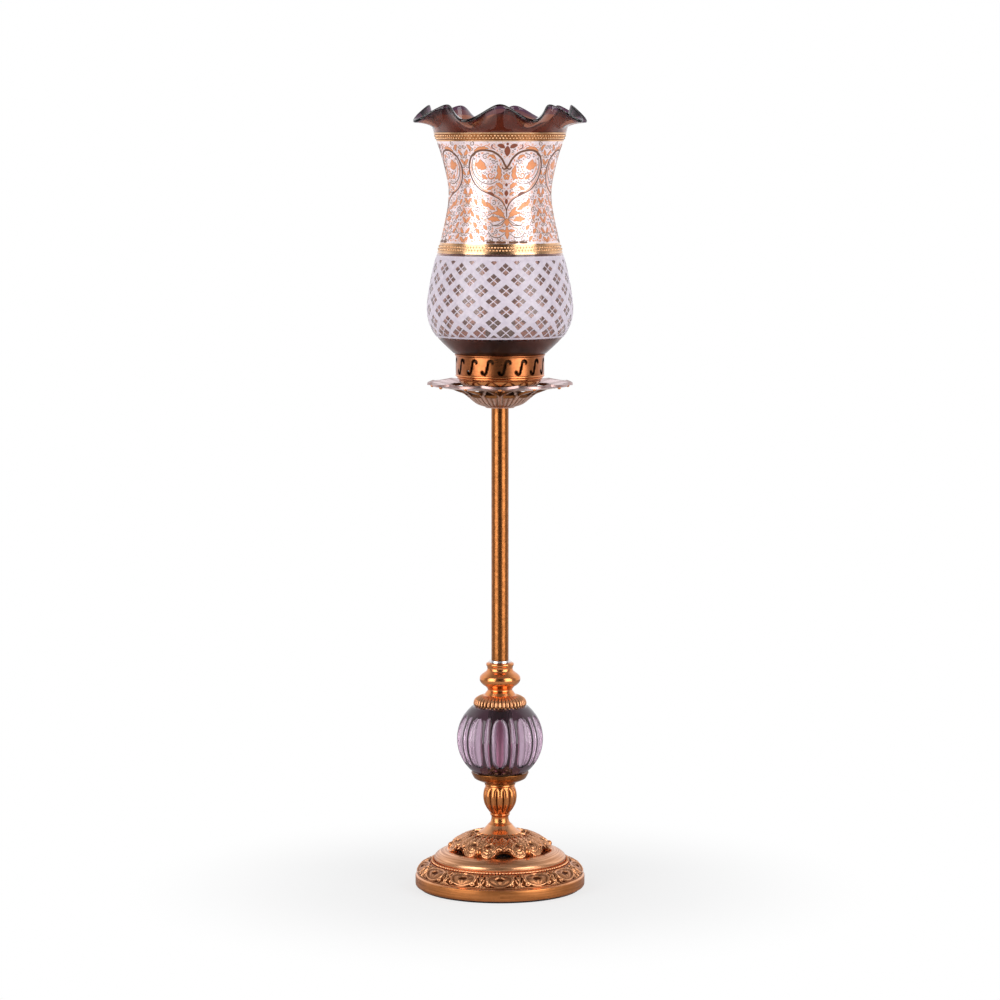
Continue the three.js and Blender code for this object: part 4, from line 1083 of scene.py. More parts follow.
def make_knop():
    height = knop_high - knop_low
    bulb_low, bulb_high = knop_low + 0.3 * height, knop_low + 0.93 * height
    neck = [(10.4, 0), (8.3, 0.06), (7.5, 0.14), (7.6, 0.2), (8.6, 0.245), (8.2, 0.27)]
    bulb = [(9.0, 0.3), (11.6, 0.40), (13.9, 0.53), (14.9, 0.70), (14.2, 0.84), (12.9, 0.925)]
    line = [*profile(neck, knop_low, knop_high, 5), *profile(bulb, knop_low, knop_high, 9)]
    outline = [*line, (12.6, knop_low + 0.95 * height), (13.3, knop_high - 0.9), (13.1, knop_high)]
    outline += [(ROD_BORE, knop_high), (ROD_BORE, knop_low)]

    def carve(r, z, angle, reached, out_r, out_z):
        share = np.clip((z - bulb_low) / (bulb_high - bulb_low), 0, 1)
        fade = np.where(r > ROD_BORE + 0.1, np.clip(np.sin(np.pi * share) * 2.2, 0, 1), 0)
        valley = 1 - np.abs(np.cos(angle * KNOP_RIBS / 2)) ** 0.6
        return r - KNOP_VALLEY * fade * valley, z + 0 * angle, 1 - fade * valley

    knop = sector("knop_fine", outline, 14, KNOP_RIBS, carve)
    repeated(knop, KNOP_RIBS, ribbed_brass, sharp=50)
    dress(knop, replaced=["fluted_knop"])


def make_ball_cup():
    bottom, top = low("ball_cup"), high("ball_cup")
    outer = reach("ball_cup")
    line = [(13.4, 0), (13.7, 0.08), (14.0, 0.13), (17.9, 0.28), (21.9, 0.46), (23.4, 0.64), (24.4, 0.84)]
    under = profile(line, bottom, top, 6)
    lip = arc(outer - 0.5, top - 0.5, 0.5, -20, 180, 8)
    outline = [*under, *lip, (outer - 3, top - 1.1), (ROD_BORE, top - 0.9), (ROD_BORE, bottom)]
    return turned("ball_cup_fine", outline, 96)


make_knop()
dress(make_ball_cup(), replaced=["ball_cup"], material=aged_brass)

# %% [markdown]
# The ball is cut from flashed crystal: ten wide flutes and ten narrow ones go through its dark skin.
# Thin dark lands stay between the flutes, and the skin also stays dark round both ends.
# An attribute called cased marks where the dark skin is left, and the glass material reads it.

# %% Crystal ball
FLUTES = 10
ball_low, ball_high = low("crystal_ball"), high("crystal_ball")
ball_r = 37.5
ball_centre = (ball_low + ball_high) / 2
ball_half = (ball_high - ball_low) / 2
WIDE_HALF, NARROW_HALF = 0.61, 0.205
WIDE_DEPTH, NARROW_DEPTH = 1.9, 0.8
FLUTE_REACH = 0.76


def flute_depths(z, angle):
    """Depths of the wide and the narrow flute, 0 on the lands and ends and 1 in the middle."""
    across = np.abs(np.mod(angle * FLUTES / (2 * np.pi) + 0.5, 1) - 0.5) * 2
    height = (z - ball_centre) / ball_half
    room = np.sqrt(np.clip(1 - np.abs(height / FLUTE_REACH) ** 6, 0, 1))
    open_here = room > 0.05
    room = np.maximum(room, 0.05)
    wide = np.clip(1 - (across / (WIDE_HALF * room)) ** 2, 0, 1)
    narrow = np.clip(1 - ((1 - across) / (NARROW_HALF * room**0.3)) ** 2, 0, 1)
    return wide * open_here, narrow * open_here


def make_ball():
    end = math.degrees(math.asin(ball_half / ball_r))
    outline = [*arc(0, ball_centre, ball_r, -end, end, 64), (BALL_BORE, ball_high), (BALL_BORE, ball_low)]

    def carve(r, z, angle, reached, out_r, out_z):
        wide, narrow = flute_depths(z, angle)
        depth = np.where(r > BALL_BORE + 0.1, WIDE_DEPTH * wide**0.6 + NARROW_DEPTH * narrow**0.6, 0)
        return r - depth, z + 0 * angle, 1 + 0 * depth

    ball = sector("ball_fine", outline, 48, FLUTES, carve)
    places = np.array([v.co for v in ball.data.vertices]) / MM
    in_bore = np.hypot(places[:, 0], places[:, 1]) < BALL_BORE + 0.1
    wide, narrow = flute_depths(places[:, 2], np.arctan2(places[:, 0], -places[:, 1]))
    on_points(ball, "cased", np.where(in_bore, 0, np.clip(1 - 7 * (wide + narrow), 0, 1)))
    on_points(ball, "ground", np.where(in_bore, 1, 0.4 * np.clip(wide * 1.5, 0, 1)))
    repeated(ball, FLUTES, ball_crystal, sharp=70)
    dress(ball, replaced=["crystal_ball"])


make_ball()

# %% [markdown]
# A gadrooned collar caps the ball: forty round ribs run from its foot to the baluster.
# The baluster above is plain turning with one round bulge and a flange under the silvered washer.

# %% Collar and baluster
GADROONS, GADROON_DEPTH = 40, 1.5
collar_low, collar_high = low("ribbed_collar"), high("ribbed_collar")


def make_collar():
    outer, foot_r, gasket = reach("ribbed_collar"), 13.6, reach("upper_gasket")
    recess = high("upper_gasket")
    line = [(outer - 1.2, 0.0), (outer, 0.14), (outer, 0.36), (outer - 1.2, 0.62)]
    line += [(mix(outer, foot_r, 0.5), 0.86), (foot_r + 0.6, 1.0)]
    crown = profile(line, collar_low, collar_high, 6)
    hidden = [(ROD_BORE, collar_high), (ROD_BORE, recess), (gasket + 0.3, recess), (gasket + 0.3, collar_low)]

    def carve(r, z, angle, reached, out_r, out_z):
        share = np.clip((r - foot_r - 1.0) / (outer - foot_r), 0, 1)
        on_crown = np.zeros_like(reached)
        on_crown[:, 2 : len(crown) - 1] = 1
        valley = 1 - np.abs(np.cos(angle * GADROONS / 2)) ** 0.7
        depth = GADROON_DEPTH * np.sqrt(share) * valley * on_crown
        return r - depth * out_r, z - depth * out_z, 1 - np.clip(depth, 0, 1)

    collar = sector("collar_fine", [*crown, *hidden], 8, GADROONS, carve)
    repeated(collar, GADROONS, cast_brass, sharp=60)
    dress(collar, replaced=["ribbed_collar"])


def make_baluster():
    bottom, top = low("baluster"), high("baluster")
    line = [(13.6, 0), (12.15, 0.08), (10.7, 0.16), (12.4, 0.25), (15.1, 0.32), (17.1, 0.4), (17.8, 0.49)]
    line += [(17.1, 0.58), (14.8, 0.66), (12.1, 0.73), (11.1, 0.8), (11.3, 0.87), (12.0, 0.92), (12.0, 0.97)]
    side = profile([*line, (11.1, 0.995)], bottom, top, 7)
    return turned("baluster_fine", [*side, (ROD_BORE, top), (ROD_BORE, bottom)], 96)


make_collar()
dress(make_baluster(), replaced=["baluster"], material=turned_brass)

# %% [markdown]
# The saucer is a pierced bowl with a lobed flange, and the gallery a spun cup with sixteen scroll slots.
# Piercing is a cut right through, so the cutters are set round the axis by the same tree and taken away.
# The flange carries low leaves that show as bumps along its edge.


# %% Piercing
def pierced(thing, cutter, count, first=0.0):
    """Cuts copies of a closed cutter out of a piece."""
    repeated(cutter, count, None, first=first)
    modifier = thing.modifiers.new("piercing", "BOOLEAN")
    modifier.operation = "DIFFERENCE"
    modifier.solver = "EXACT"
    modifier.object = cutter
    settle(thing, 35)
    bpy.data.objects.remove(cutter)
    return thing


def prism(name, plan, back, front, place):
    """A flat outline, anticlockwise from outside, given a depth. place makes x, y, z of (u, v, depth)."""
    count = len(plan)
    places = [place(u, v, back) for u, v in plan] + [place(u, v, front) for u, v in plan]
    faces = [(i, (i + 1) % count, count + (i + 1) % count, count + i) for i in range(count)]
    faces += [tuple(range(count - 1, -1, -1)), tuple(range(count, 2 * count))]
    return add_mesh(name, places, faces)


print("cutters are set round the axis by", repeat_round_axis.name)

# %% Saucer
LOBES = 12
saucer_low = low("openwork_saucer")
SAUCER_FOOT, BOWL_R, FLANGE_R = 13.0, 37.0, 63.0
bowl_z = saucer_low + 14.3
flange_z = saucer_low + 22.2
SAUCER_BAR = 1.5
WINDOW_INNER, WINDOW_OUTER = 28.5, 46.0
NOTCH_DEPTH, LOBE_DROOP, SAUCER_RIB = 2.6, 1.3, 0.5


def make_saucer():
    bowl = smooth(
        [
            (SAUCER_FOOT, saucer_low + 0.8),
            (mix(SAUCER_FOOT, BOWL_R, 0.32), saucer_low + 3.6),
            (mix(SAUCER_FOOT, BOWL_R, 0.72), saucer_low + 11.2),
            (BOWL_R, bowl_z),
        ],
        8,
    )
    flange = [(BOWL_R + 2, bowl_z + 0.8), (44.8, saucer_low + 17.12), (56.5, saucer_low + 19.72)]
    under = [*bowl, *smooth([*flange, (FLANGE_R, flange_z - 1.2)], 7)]
    over = [(r - 0.3, z + 2.0) for r, z in reversed(under[1:])]
    ends = [(SAUCER_FOOT - 2, saucer_low + 3.6), (ROD_BORE, saucer_low + 3.6), (ROD_BORE, saucer_low)]
    outline = [(SAUCER_FOOT - 0.6, saucer_low), *under, *over, *ends]

    def carve(r, z, angle, reached, out_r, out_z):
        share = np.clip((r - BOWL_R) / (FLANGE_R - BOWL_R), 0, 1)
        lobe = 1 - np.abs(np.cos(angle * LOBES / 2))
        swell = np.abs(np.cos(angle * LOBES / 2)) ** 2
        vein = np.abs(np.cos(angle * LOBES * 2)) ** 2
        bump_up = share * (0.9 * swell + 0.5 * vein) * np.sin(np.pi * np.clip(share * 1.15, 0, 1)) ** 0.5
        r = r - NOTCH_DEPTH * share**3 * lobe
        z = z - LOBE_DROOP * share**3 * (1 - lobe) + bump_up * out_z * 0.8
        on_bowl = (share == 0) & (r > SAUCER_FOOT + 0.5) & (out_z < 0)
        rib = np.where(on_bowl, 1 - np.abs(np.cos(angle * LOBES * 1.5)) ** 0.7, 0)
        r, z = r - SAUCER_RIB * rib * out_r, z - SAUCER_RIB * rib * out_z
        # Up-facing faces inside the bowl get relief 0 and so the dark colour, a painted shade under the
        # gallery; the rib valleys underneath get patina.
        bowl_patina_and_shade = np.where(out_z > 0, 0, 1 - 0.8 * rib)
        return r, z, np.where(share > 0, np.clip(0.45 + bump_up, 0, 1), bowl_patina_and_shade)

    return turned("saucer_fine", outline, LOBES * 24, carve=carve)


def saucer_cutters():
    """The two windows of the zigzag, as upright prisms at the front."""
    inner, outer = WINDOW_INNER, WINDOW_OUTER
    half = math.pi / LOBES
    wide = outer * math.sin(half) - SAUCER_BAR
    narrow = inner * math.sin(half) - SAUCER_BAR
    wing = -outer * math.cos(half)
    kite = [(-wide, wing), (0, -outer), (wide, wing), (0, -inner - 1.6 * SAUCER_BAR)]
    dart = [(0, -outer + 1.6 * SAUCER_BAR), (narrow, -inner), (-narrow, -inner)]
    upright = (saucer_low + 4, flange_z, lambda u, v, depth: (u, v, depth))
    return prism("kites", kite, *upright), prism("darts", dart, *upright)


saucer = make_saucer()
kites, darts = saucer_cutters()
pierced(saucer, kites, LOBES)
pierced(saucer, darts, LOBES, first=180 / LOBES)
saucer.data.materials.append(pale_brass)
also_in(saucer, bowl_brass, saucer_low - 1, flange_z - 3.4)
dress(saucer, replaced=["openwork_saucer"])
knob = bead("saucer_knobs", 1.7, 58.5, saucer_low + 19.4, 14, 10)
dress(repeated(knob, LOBES, turned_brass, sharp=80))

# %% [markdown]
# The gallery's slots are drawn as one stroke along an S curve, with a drop at each hooked end.
# The stroke swells at its ends, as a piercing saw leaves it, and the wall is cut square through.

# %% Gallery
SLOTS, SLOT_TURN = 16, 6.0
SLOT_HALF_WIDE, SLOT_HALF_TALL = 4.9, 6.1
gallery_low, gallery_high = low("gallery"), high("gallery")
GALLERY_R, GALLERY_WALL = 38.2, 1.2
cove_top = gallery_low + 8.6


def make_gallery():
    cove = smooth([(r, gallery_low + up) for r, up in ((30.5, 0), (33.2, 1.2), (35.2, 3.5), (35.8, 5.4))], 6)
    inside = GALLERY_R - GALLERY_WALL
    outline = [
        *cove,
        *arc(36.1, cove_top - 2.0, 0.9, -70, 50, 6),
        *arc(GALLERY_R - 0.6, cove_top - 0.1, 0.9, -70, 60, 6),
        (GALLERY_R, cove_top + 1.6),
        *[(GALLERY_R, z) for z in np.linspace(cove_top + 3.4, gallery_high - 3.4, 8)],
        (GALLERY_R, gallery_high - 2.2),
        *arc(GALLERY_R + 0.1, gallery_high - 1.1, 0.8, -60, 60, 6),
        (GALLERY_R + 0.3, gallery_high),
        (inside, gallery_high),
        *[(inside, z) for z in np.linspace(gallery_high - 3.4, cove_top + 3.4, 8)],
        (inside, cove_top),
        (29.5, gallery_low + 1.4),
        (ROD_BORE, gallery_low + 1.4),
        (ROD_BORE, gallery_low),
    ]

    def shade_inside_and_under(r, z, angle, reached, out_r, out_z):
        # Faces that look inwards or down get relief 0 and so the dark colour: painted shade inside and under
        # the gallery, which makes the slots read black.
        return r, z + 0 * angle, np.where((out_r < -0.5) | (out_z < -0.9), 0, 1) + 0 * r

    return turned("gallery_fine", outline, 160, carve=shade_inside_and_under)


def slot_cutter():
    spine = [(0.98, 0.5), (0.9, 0.82), (0.58, 0.98), (0.25, 0.8), (0.11, 0.42), (0.03, 0.12)]
    spine = spine + [(-x, -y) for x, y in reversed(spine)]
    line = np.array(smooth([(x * SLOT_HALF_WIDE, y * SLOT_HALF_TALL) for x, y in spine], 6))
    along = np.gradient(line, axis=0)
    along /= np.linalg.norm(along, axis=1)[:, None]
    share = np.linspace(-1, 1, len(line))
    reach_out = (1.0 + 0.25 * np.abs(share) ** 3 - 0.35 * np.abs(share) ** 20)[:, None]
    reach_out[len(line) // 2] += 0.25
    side = np.stack([-along[:, 1], along[:, 0]], axis=1) * reach_out
    plan = [*(line + side).tolist(), *(line - side)[::-1].tolist()]
    middle = (cove_top + gallery_high) / 2 - 1.0
    place = lambda u, v, depth: (u, -depth, middle + v)
    return prism("slot", plan[::-1] if turning(plan) < 0 else plan, GALLERY_R - 5, GALLERY_R + 3, place)


def turning(plan):
    points = np.array(plan)
    following = np.roll(points, -1, axis=0)
    return np.sum(points[:, 0] * following[:, 1] - following[:, 0] * points[:, 1])


gallery = make_gallery()
pierced(gallery, slot_cutter(), SLOTS, first=SLOT_TURN)
gallery.data.materials.append(spun_brass)
also_in(gallery, turned_brass, gallery_low + 0.5, cove_top + 0.9)
dress(gallery, replaced=["gallery"])

# %% [markdown]
# Inside the shade stand the ring that centres it and the socket for the candle.
# Both are turned and near black: dark brass with painted shade from inside the gallery and the glass, and they
# show through the cut glass as brown shapes.


# %% Locating ring and candle cup
def make_ring():
    bottom, top = low("locating_ring"), high("locating_ring")
    outer = 36.2
    outline = [
        (outer - 1.2, bottom), (36.7, bottom), (36.7, bottom + 2), (outer, bottom + 3),
        *arc(outer - 0.5, top - 0.5, 0.5, 0, 90, 4), (outer - 1.2, top),
    ]
    return turned("locating_ring_fine", outline, 120)


def make_candle_cup():
    bottom, top = low("candle_cup"), high("candle_cup")
    bore, cup, lip, stem = 11.25, 12.75, 16.5, 7.5
    seat = top - 21
    line = [(14, 0), (13.4, 2.2), (9.4, 5.4), (stem, 12), (stem, 24), (stem + 0.8, 31)]
    side = smooth([(r, bottom + h) for r, h in [*line, (cup - 0.6, 35.8), (cup, 39.5)]], 6)
    rim = [(cup, top - 3.4), (lip - 0.6, top - 1.9), *arc(lip - 0.6, top - 1.2, 0.6, -60, 90, 6)]
    rim += [(bore + 0.5, top), (bore, top - 0.5)]
    inside = [(bore, seat), (0.4, seat), (0.4, bottom + 17), (ROD_BORE, bottom + 16.3), (ROD_BORE, bottom)]
    return turned("candle_cup_fine", [*side, *rim, *inside], 96)


dress(make_ring(), replaced=["locating_ring"], material=dark_brass_and_shade)
dress(make_candle_cup(), replaced=["candle_cup"], material=dark_brass_and_shade)

# %% [markdown]
# The shade is blown into a mould as a bellied chimney, and its hot lip is drawn out into eight waves.
# Its wall is the same all round, but its lip changes with the angle, from a steep crest to a wide trough.
# So the tree below is given three outlines, at a crest, half-way and at a trough, and blends them by angle.
# The waves were drawn by hand, so towards the back they drift a quarter of a wave ahead of an even spacing.

# %% Outlines of the shade
WAVES, WAVE_DRIFT = 8, 12
WALL = 2.6
NECK_R, NECK_Z = 57.2, shade_low + 190.0
EDGE_CREST = (63.0, shade_low + 212.4)
EDGE_TROUGH = (77.5, shade_low + 197.4)
CUT_HIGH = shade_low + 81.4
FROST_TOP = shade_low + 84.4
LOWER_BAND = (shade_low + 86.4, shade_low + 95.2)
UPPER_BAND = (shade_low + 181.6, shade_low + 189.0)
WALL_SHAPE = [
    (40.0, 0),
    (50.99, 10.45),
    (59.09, 21.18),
    (62.9, 38.7),
    (58.36, 69.45),
    (49.67, 102.13),
    (44.0, 134.8),
    (48.22, 162.4),
]
wall_curve = np.array(smooth([*[(r, shade_low + h) for r, h in WALL_SHAPE], (NECK_R, NECK_Z)], 12))


def wall_radius(z):
    """Outer radius of the shade's wall at a height."""
    return np.interp(z, wall_curve[:, 1], wall_curve[:, 0])


def lip_point(share, crest):
    """The lip's outer line: it leaves the neck along the wall and bends to the wavy edge."""
    edge = [mix(a, b, crest) for a, b in zip(EDGE_TROUGH, EDGE_CREST)]
    knee = (NECK_R + 2.2, NECK_Z + mix(0.9, 0.35, crest) * (edge[1] - NECK_Z))
    return bow((NECK_R, NECK_Z), knee, edge, share)


# Each zone of the wall has its heights, the number of its rows and its number in the list of finishes.
GLASS, CUT, FROSTED, GILT, PEARL, RIM = range(6)
RIM_ROWS = 15
ZONES = [
    (shade_low, CUT_LOW, 5, GLASS),
    (CUT_LOW, CUT_HIGH, 27, CUT),
    (CUT_HIGH, FROST_TOP, 2, FROSTED),
    (FROST_TOP, LOWER_BAND[0], 1, GLASS),
    (LOWER_BAND[0], LOWER_BAND[1], 5, GILT),
    (LOWER_BAND[1], UPPER_BAND[0], 32, PEARL),
    (UPPER_BAND[0], UPPER_BAND[1], 5, GILT),
    (UPPER_BAND[1], NECK_Z, 1, GLASS),
]


def shade_outline(crest):
    """The whole closed section for a place between trough, 0, and crest, 1."""
    heights, zones = [], []
    for start, end, count, zone in ZONES:
        heights += list(np.linspace(start, end, count, endpoint=False))
        zones += [zone] * count
    wall = [(wall_radius(z), z) for z in heights]
    lip = [lip_point(s, crest) for s in np.linspace(0, 1, 17)]
    outer = np.array([*wall, *lip])
    # The last rows round the rolled edge take the rim glass with its painted dark line.
    zones += [GLASS] * (len(lip) - 3) + [RIM] * RIM_ROWS
    along = np.gradient(outer, axis=0)
    along /= np.linalg.norm(along, axis=1)[:, None]
    inwards = np.stack([-along[:, 1], along[:, 0]], axis=1)
    half = WALL / 2
    centre = outer[-1] + inwards[-1] * half - along[-1] * half
    across, ahead = inwards[-1] * half, along[-1] * half
    round_edge = [centre - across * math.cos(t) + ahead * math.sin(t) for t in np.linspace(0, math.pi, 9)]
    inner = (outer + inwards * WALL)[1:-1][::-1]
    section = [*outer[:-1], *round_edge, *inner, (outer[0][0] - WALL - 0.2, shade_low)]
    zones += [GLASS] * (len(section) - len(zones))
    return np.array(section), zones


crest_line, zone_of_row = shade_outline(1.0)
middle_line, _ = shade_outline(0.5)
trough_line, _ = shade_outline(0.0)
print("shade section:", len(crest_line), "points, lip reaches", round(trough_line[:, 0].max(), 1), "mm")

# %% [markdown]
# The tree bends a flat grid round the axis. Each point blends its places on the three outlines.
# The shares of the three are those of a curve through crest, half-way and trough, so the waves stay smooth.
# The rows also carry the number of their zone, and each zone gets its own material at the end.

# %% Tree that draws the waves of the shade
FINISHES = {
    "Glass": amethyst,
    "Cut zone": pane_crystal,
    "Frost": frost,
    "Gilding": gilding,
    "Pearl": pearl,
    "Rim": rim_crystal,
}


def make_shade_tree():
    inputs = [("Outlines", SHAPE, None), ("Columns", WHOLE, 160), ("Rows", WHOLE, 100), ("Waves", WHOLE, 8)]
    inputs += [("Drift", FLOAT, 0.0), *[(label, MATERIAL, None) for label in FINISHES]]
    tree, given, result = new_group("wavy_shade", "GeometryNodeTree", inputs, [("Geometry", SHAPE)])
    tree.is_modifier = True
    sheet = put(
        tree,
        "GeometryNodeMeshGrid",
        {
            "Size X": given["Columns"],
            "Size Y": given["Rows"],
            "Vertices X": calc(tree, "ADD", given["Columns"], 1),
            "Vertices Y": calc(tree, "ADD", given["Rows"], 1),
        },
    )
    place = split(tree, put(tree, "GeometryNodeInputPosition").outputs[0])
    column = calc(tree, "MULTIPLY_ADD", given["Columns"], 0.5, place["X"])
    row = calc(tree, "MULTIPLY_ADD", given["Rows"], 0.5, place["Y"])
    row_of_point = calc(tree, "FLOORED_MODULO", calc(tree, "ROUND", row), given["Rows"])
    row_of_face = calc(tree, "FLOOR", row)

    def sample(name, kind, index):
        value = put(tree, "GeometryNodeInputNamedAttribute", {"Name": name}, data_type=kind).outputs[0]
        socket = {"Geometry": given["Outlines"], "Value": value, "Index": index}
        return put(tree, "GeometryNodeSampleIndex", socket, data_type=kind).outputs[0]

    zone = sample("zone", "FLOAT", row_of_face)
    marked = put(
        tree,
        "GeometryNodeStoreNamedAttribute",
        {"Geometry": sheet.outputs[0], "Name": "zone", "Value": zone},
        data_type="FLOAT",
        domain="FACE",
    )
    angle = calc(tree, "MULTIPLY", calc(tree, "DIVIDE", column, given["Columns"]), 2 * math.pi)
    towards_back = calc(tree, "MULTIPLY_ADD", calc(tree, "COSINE", angle), -0.5, 0.5)
    phase = calc(tree, "MULTIPLY_ADD", towards_back, given["Drift"], angle)
    wave = calc(tree, "COSINE", calc(tree, "MULTIPLY", phase, given["Waves"]))
    crest = calc(tree, "MULTIPLY_ADD", wave, 0.5, 0.5)
    past_middle = calc(tree, "SUBTRACT", crest, 0.5)
    short_of_crest = calc(tree, "SUBTRACT", 1.0, crest)
    shares = {
        "crest": calc(tree, "MULTIPLY", calc(tree, "MULTIPLY", crest, 2.0), past_middle),
        "middle": calc(tree, "MULTIPLY", calc(tree, "MULTIPLY", crest, 4.0), short_of_crest),
        "trough": calc(tree, "MULTIPLY", calc(tree, "MULTIPLY", short_of_crest, -2.0), past_middle),
    }
    whole = (0, 0, 0)
    for name, share in shares.items():
        outline = {0: sample(name, "FLOAT_VECTOR", row_of_point), "Scale": share}
        scaled = put(tree, "ShaderNodeVectorMath", outline, operation="SCALE").outputs[0]
        whole = put(tree, "ShaderNodeVectorMath", {0: whole, 1: scaled}, operation="ADD").outputs[0]
    radius, _, height = split(tree, whole)
    spot = put(
        tree,
        "ShaderNodeCombineXYZ",
        {
            "X": calc(tree, "MULTIPLY", radius, calc(tree, "SINE", angle)),
            "Y": calc(tree, "MULTIPLY", calc(tree, "MULTIPLY", radius, calc(tree, "COSINE", angle)), -1.0),
            "Z": height,
        },
    )
    bent = put(tree, "GeometryNodeSetPosition", {"Geometry": marked.outputs[0], "Position": spot.outputs[0]})
    welded = put(tree, "GeometryNodeMergeByDistance", {"Geometry": bent.outputs[0], "Distance": 0.01 * MM})
    result_so_far = put(tree, "GeometryNodeRealizeInstances", {"Geometry": welded.outputs[0]}).outputs[0]
    face_zone = put(tree, "GeometryNodeInputNamedAttribute", {"Name": "zone"}, data_type="FLOAT").outputs[0]
    for number, label in enumerate(FINISHES):
        chosen = calc(tree, "COMPARE", face_zone, float(number), 0.4)
        zone_of_it = {"Geometry": result_so_far, "Selection": chosen, "Material": given[label]}
        result_so_far = put(tree, "GeometryNodeSetMaterial", zone_of_it).outputs[0]
    tree.links.new(result_so_far, result["Geometry"])
    return tree


def in_space(line):
    return np.stack([line[:, 0], 0 * line[:, 0], line[:, 1]], axis=1)


def make_shade():
    shade = add_mesh("shade_fine", in_space(crest_line), [])
    for name, line in (("crest", crest_line), ("middle", middle_line), ("trough", trough_line)):
        attribute = shade.data.attributes.new(name, "FLOAT_VECTOR", "POINT")
        attribute.data.foreach_set("vector", (in_space(line) * MM).astype(np.float32).ravel())
    on_points(shade, "zone", zone_of_row)
    values = {"Columns": WAVES * 20, "Rows": len(crest_line), "Waves": WAVES}
    use_tree(shade, make_shade_tree(), {**values, "Drift": math.radians(WAVE_DRIFT), **FINISHES})
    settle(shade, 50)
    height = np.array([v.co.z for v in shade.data.vertices]) / MM
    # The upper gilt band gets low relief, a painted shade on the band that faces down away from the lights.
    # The foot of the glass is ground where the gallery holds it.
    on_points(shade, "relief", np.where(height < UPPER_BAND[0] - 1, 0.75, 0.05))
    on_points(shade, "ground", np.where(height < CUT_LOW, 0.6, 0))
    return dress(shade, body="shade", replaced=["crystal_shade"])


shade = make_shade()
print("shade materials:", [m.name for m in shade.data.materials if m])

# %% [markdown]
# The belly is cut with a net of frosted bands that climb both ways, with a thin line between each two.
# Every band follows the wall, so its place comes from the angle and the height. It stands a hair proud.
# One band and one line in each direction are the unit, and the tree sets eighteen of them round the belly.

# %% Cut net on the belly
NET_COUNT = 18
NET_FOOT = shade_low + 11.2
NET_TURN = 4.8
NET_SLOPE = 10 / 8.95
BAND_HALF, LINE_HALF = 3.95, 0.6
PROUD = 0.16


def strip(centre_angle, half_angle, heights, lift, across=3):
    """A thin closed strip on the wall. Two functions give its middle and half width in degrees."""
    sections = []
    for z in heights:
        middle, half = centre_angle(z), half_angle(z)
        angles = np.radians(np.linspace(middle - half, middle + half, across))
        r = wall_radius(z)
        top = [(a, r + lift) for a in angles]
        bottom = [(a, r - 0.1) for a in angles[::-1]]
        sections.append([(q * math.sin(a), -q * math.cos(a), z) for a, q in top + bottom])
    rows = 2 * across
    count = len(sections)
    faces = [f[::-1] for f in grid_faces(count, rows, False, True)]
    faces += [tuple(range(rows)), tuple(range((count - 1) * rows, count * rows))[::-1]]
    return np.array(sections).reshape(-1, 3), faces


def joined(name, parts):
    """One mesh from several (places, faces), each closed, with its faces turned outwards."""
    places, faces, base = [], [], 0
    for some_places, some_faces in parts:
        places.append(some_places)
        faces += [tuple(base + i for i in f) for f in some_faces]
        base += len(some_places)
    thing = add_mesh(name, np.vstack(places), faces)
    work = bmesh.new()
    work.from_mesh(thing.data)
    bmesh.ops.recalc_face_normals(work, faces=work.faces)
    work.to_mesh(thing.data)
    work.free()
    on_points(thing, "relief", np.ones(base))
    return thing


def make_net():
    heights = np.linspace(CUT_LOW, CUT_HIGH, 31)
    step = 360 / NET_COUNT
    parts = []
    band = lambda z: BAND_HALF * float(np.interp(z, [NET_FOOT, NET_FOOT + 7, NET_FOOT + 19], [0.3, 0.45, 1]))
    for hand, lift in ((1, PROUD), (-1, PROUD + 0.05)):
        climb = lambda z, h=hand: h * (z - NET_FOOT) * NET_SLOPE
        parts.append(strip(climb, band, heights, lift))
        parts.append(strip(lambda z, c=climb: c(z) + step / 2, lambda z: LINE_HALF, heights, lift - 0.04, 2))
    net = joined("cut_net", parts)
    repeated(net, NET_COUNT, frost, first=NET_TURN, weld=0.0001, sharp=60)
    dress(net, body="shade")


make_net()

# %% Frosted lines and gilt beads
RING_PROUD = 0.3
GILT_EDGE = 0.9
GILT_BEADS, GILT_BEAD_RADIUS = 120, 0.95


def wall_ring(name, bottom, top, finish):
    """A thin ring laid round the shade between two heights."""
    heights = np.linspace(bottom, top, 4)
    outer = [(wall_radius(z) + RING_PROUD, z) for z in heights]
    inner = [(wall_radius(z) - 0.1, z) for z in heights[::-1]]
    ring = turned(name, [*outer, *inner], 160)
    dress(ring, body="shade", material=finish)


wall_ring("cut_line_low", CUT_LOW - 1.0, CUT_LOW + 0.6, frost)
wall_ring("cut_line_high", CUT_HIGH - 0.6, CUT_HIGH + 0.6, frost)
for name, (bottom, top) in (("lower", LOWER_BAND), ("upper", UPPER_BAND)):
    wall_ring("gilt_edge_under_" + name, bottom, bottom + GILT_EDGE, gilding)
    wall_ring("gilt_edge_over_" + name, top - GILT_EDGE, top, gilding)
    for row, share in (("first", 0.36), ("second", 0.64)):
        z = mix(bottom, top, share)
        beads = bead(f"gilt_beads_{name}_{row}", GILT_BEAD_RADIUS, wall_radius(z) - 0.1, z, 6, 5)
        first = 180 / GILT_BEADS if row == "second" else 0
        repeated(beads, GILT_BEADS, gilding, first=first, weld=0.0001, sharp=80)
        dress(beads, body="shade")

# %% [markdown]
# The waist is printed: gold leaves and fine brown scrolls on a pearl ground, in the old scroll manner.
# A heart of two scrolls holds leaves and a flower, sprays hang below it, and columns of leaves stand between.
# Each stroke is a thin ribbon that follows the wall, wide for a leaf and narrow for a line.
# Two short dark bars in the sprays are a painted reflection of the shade's inside.

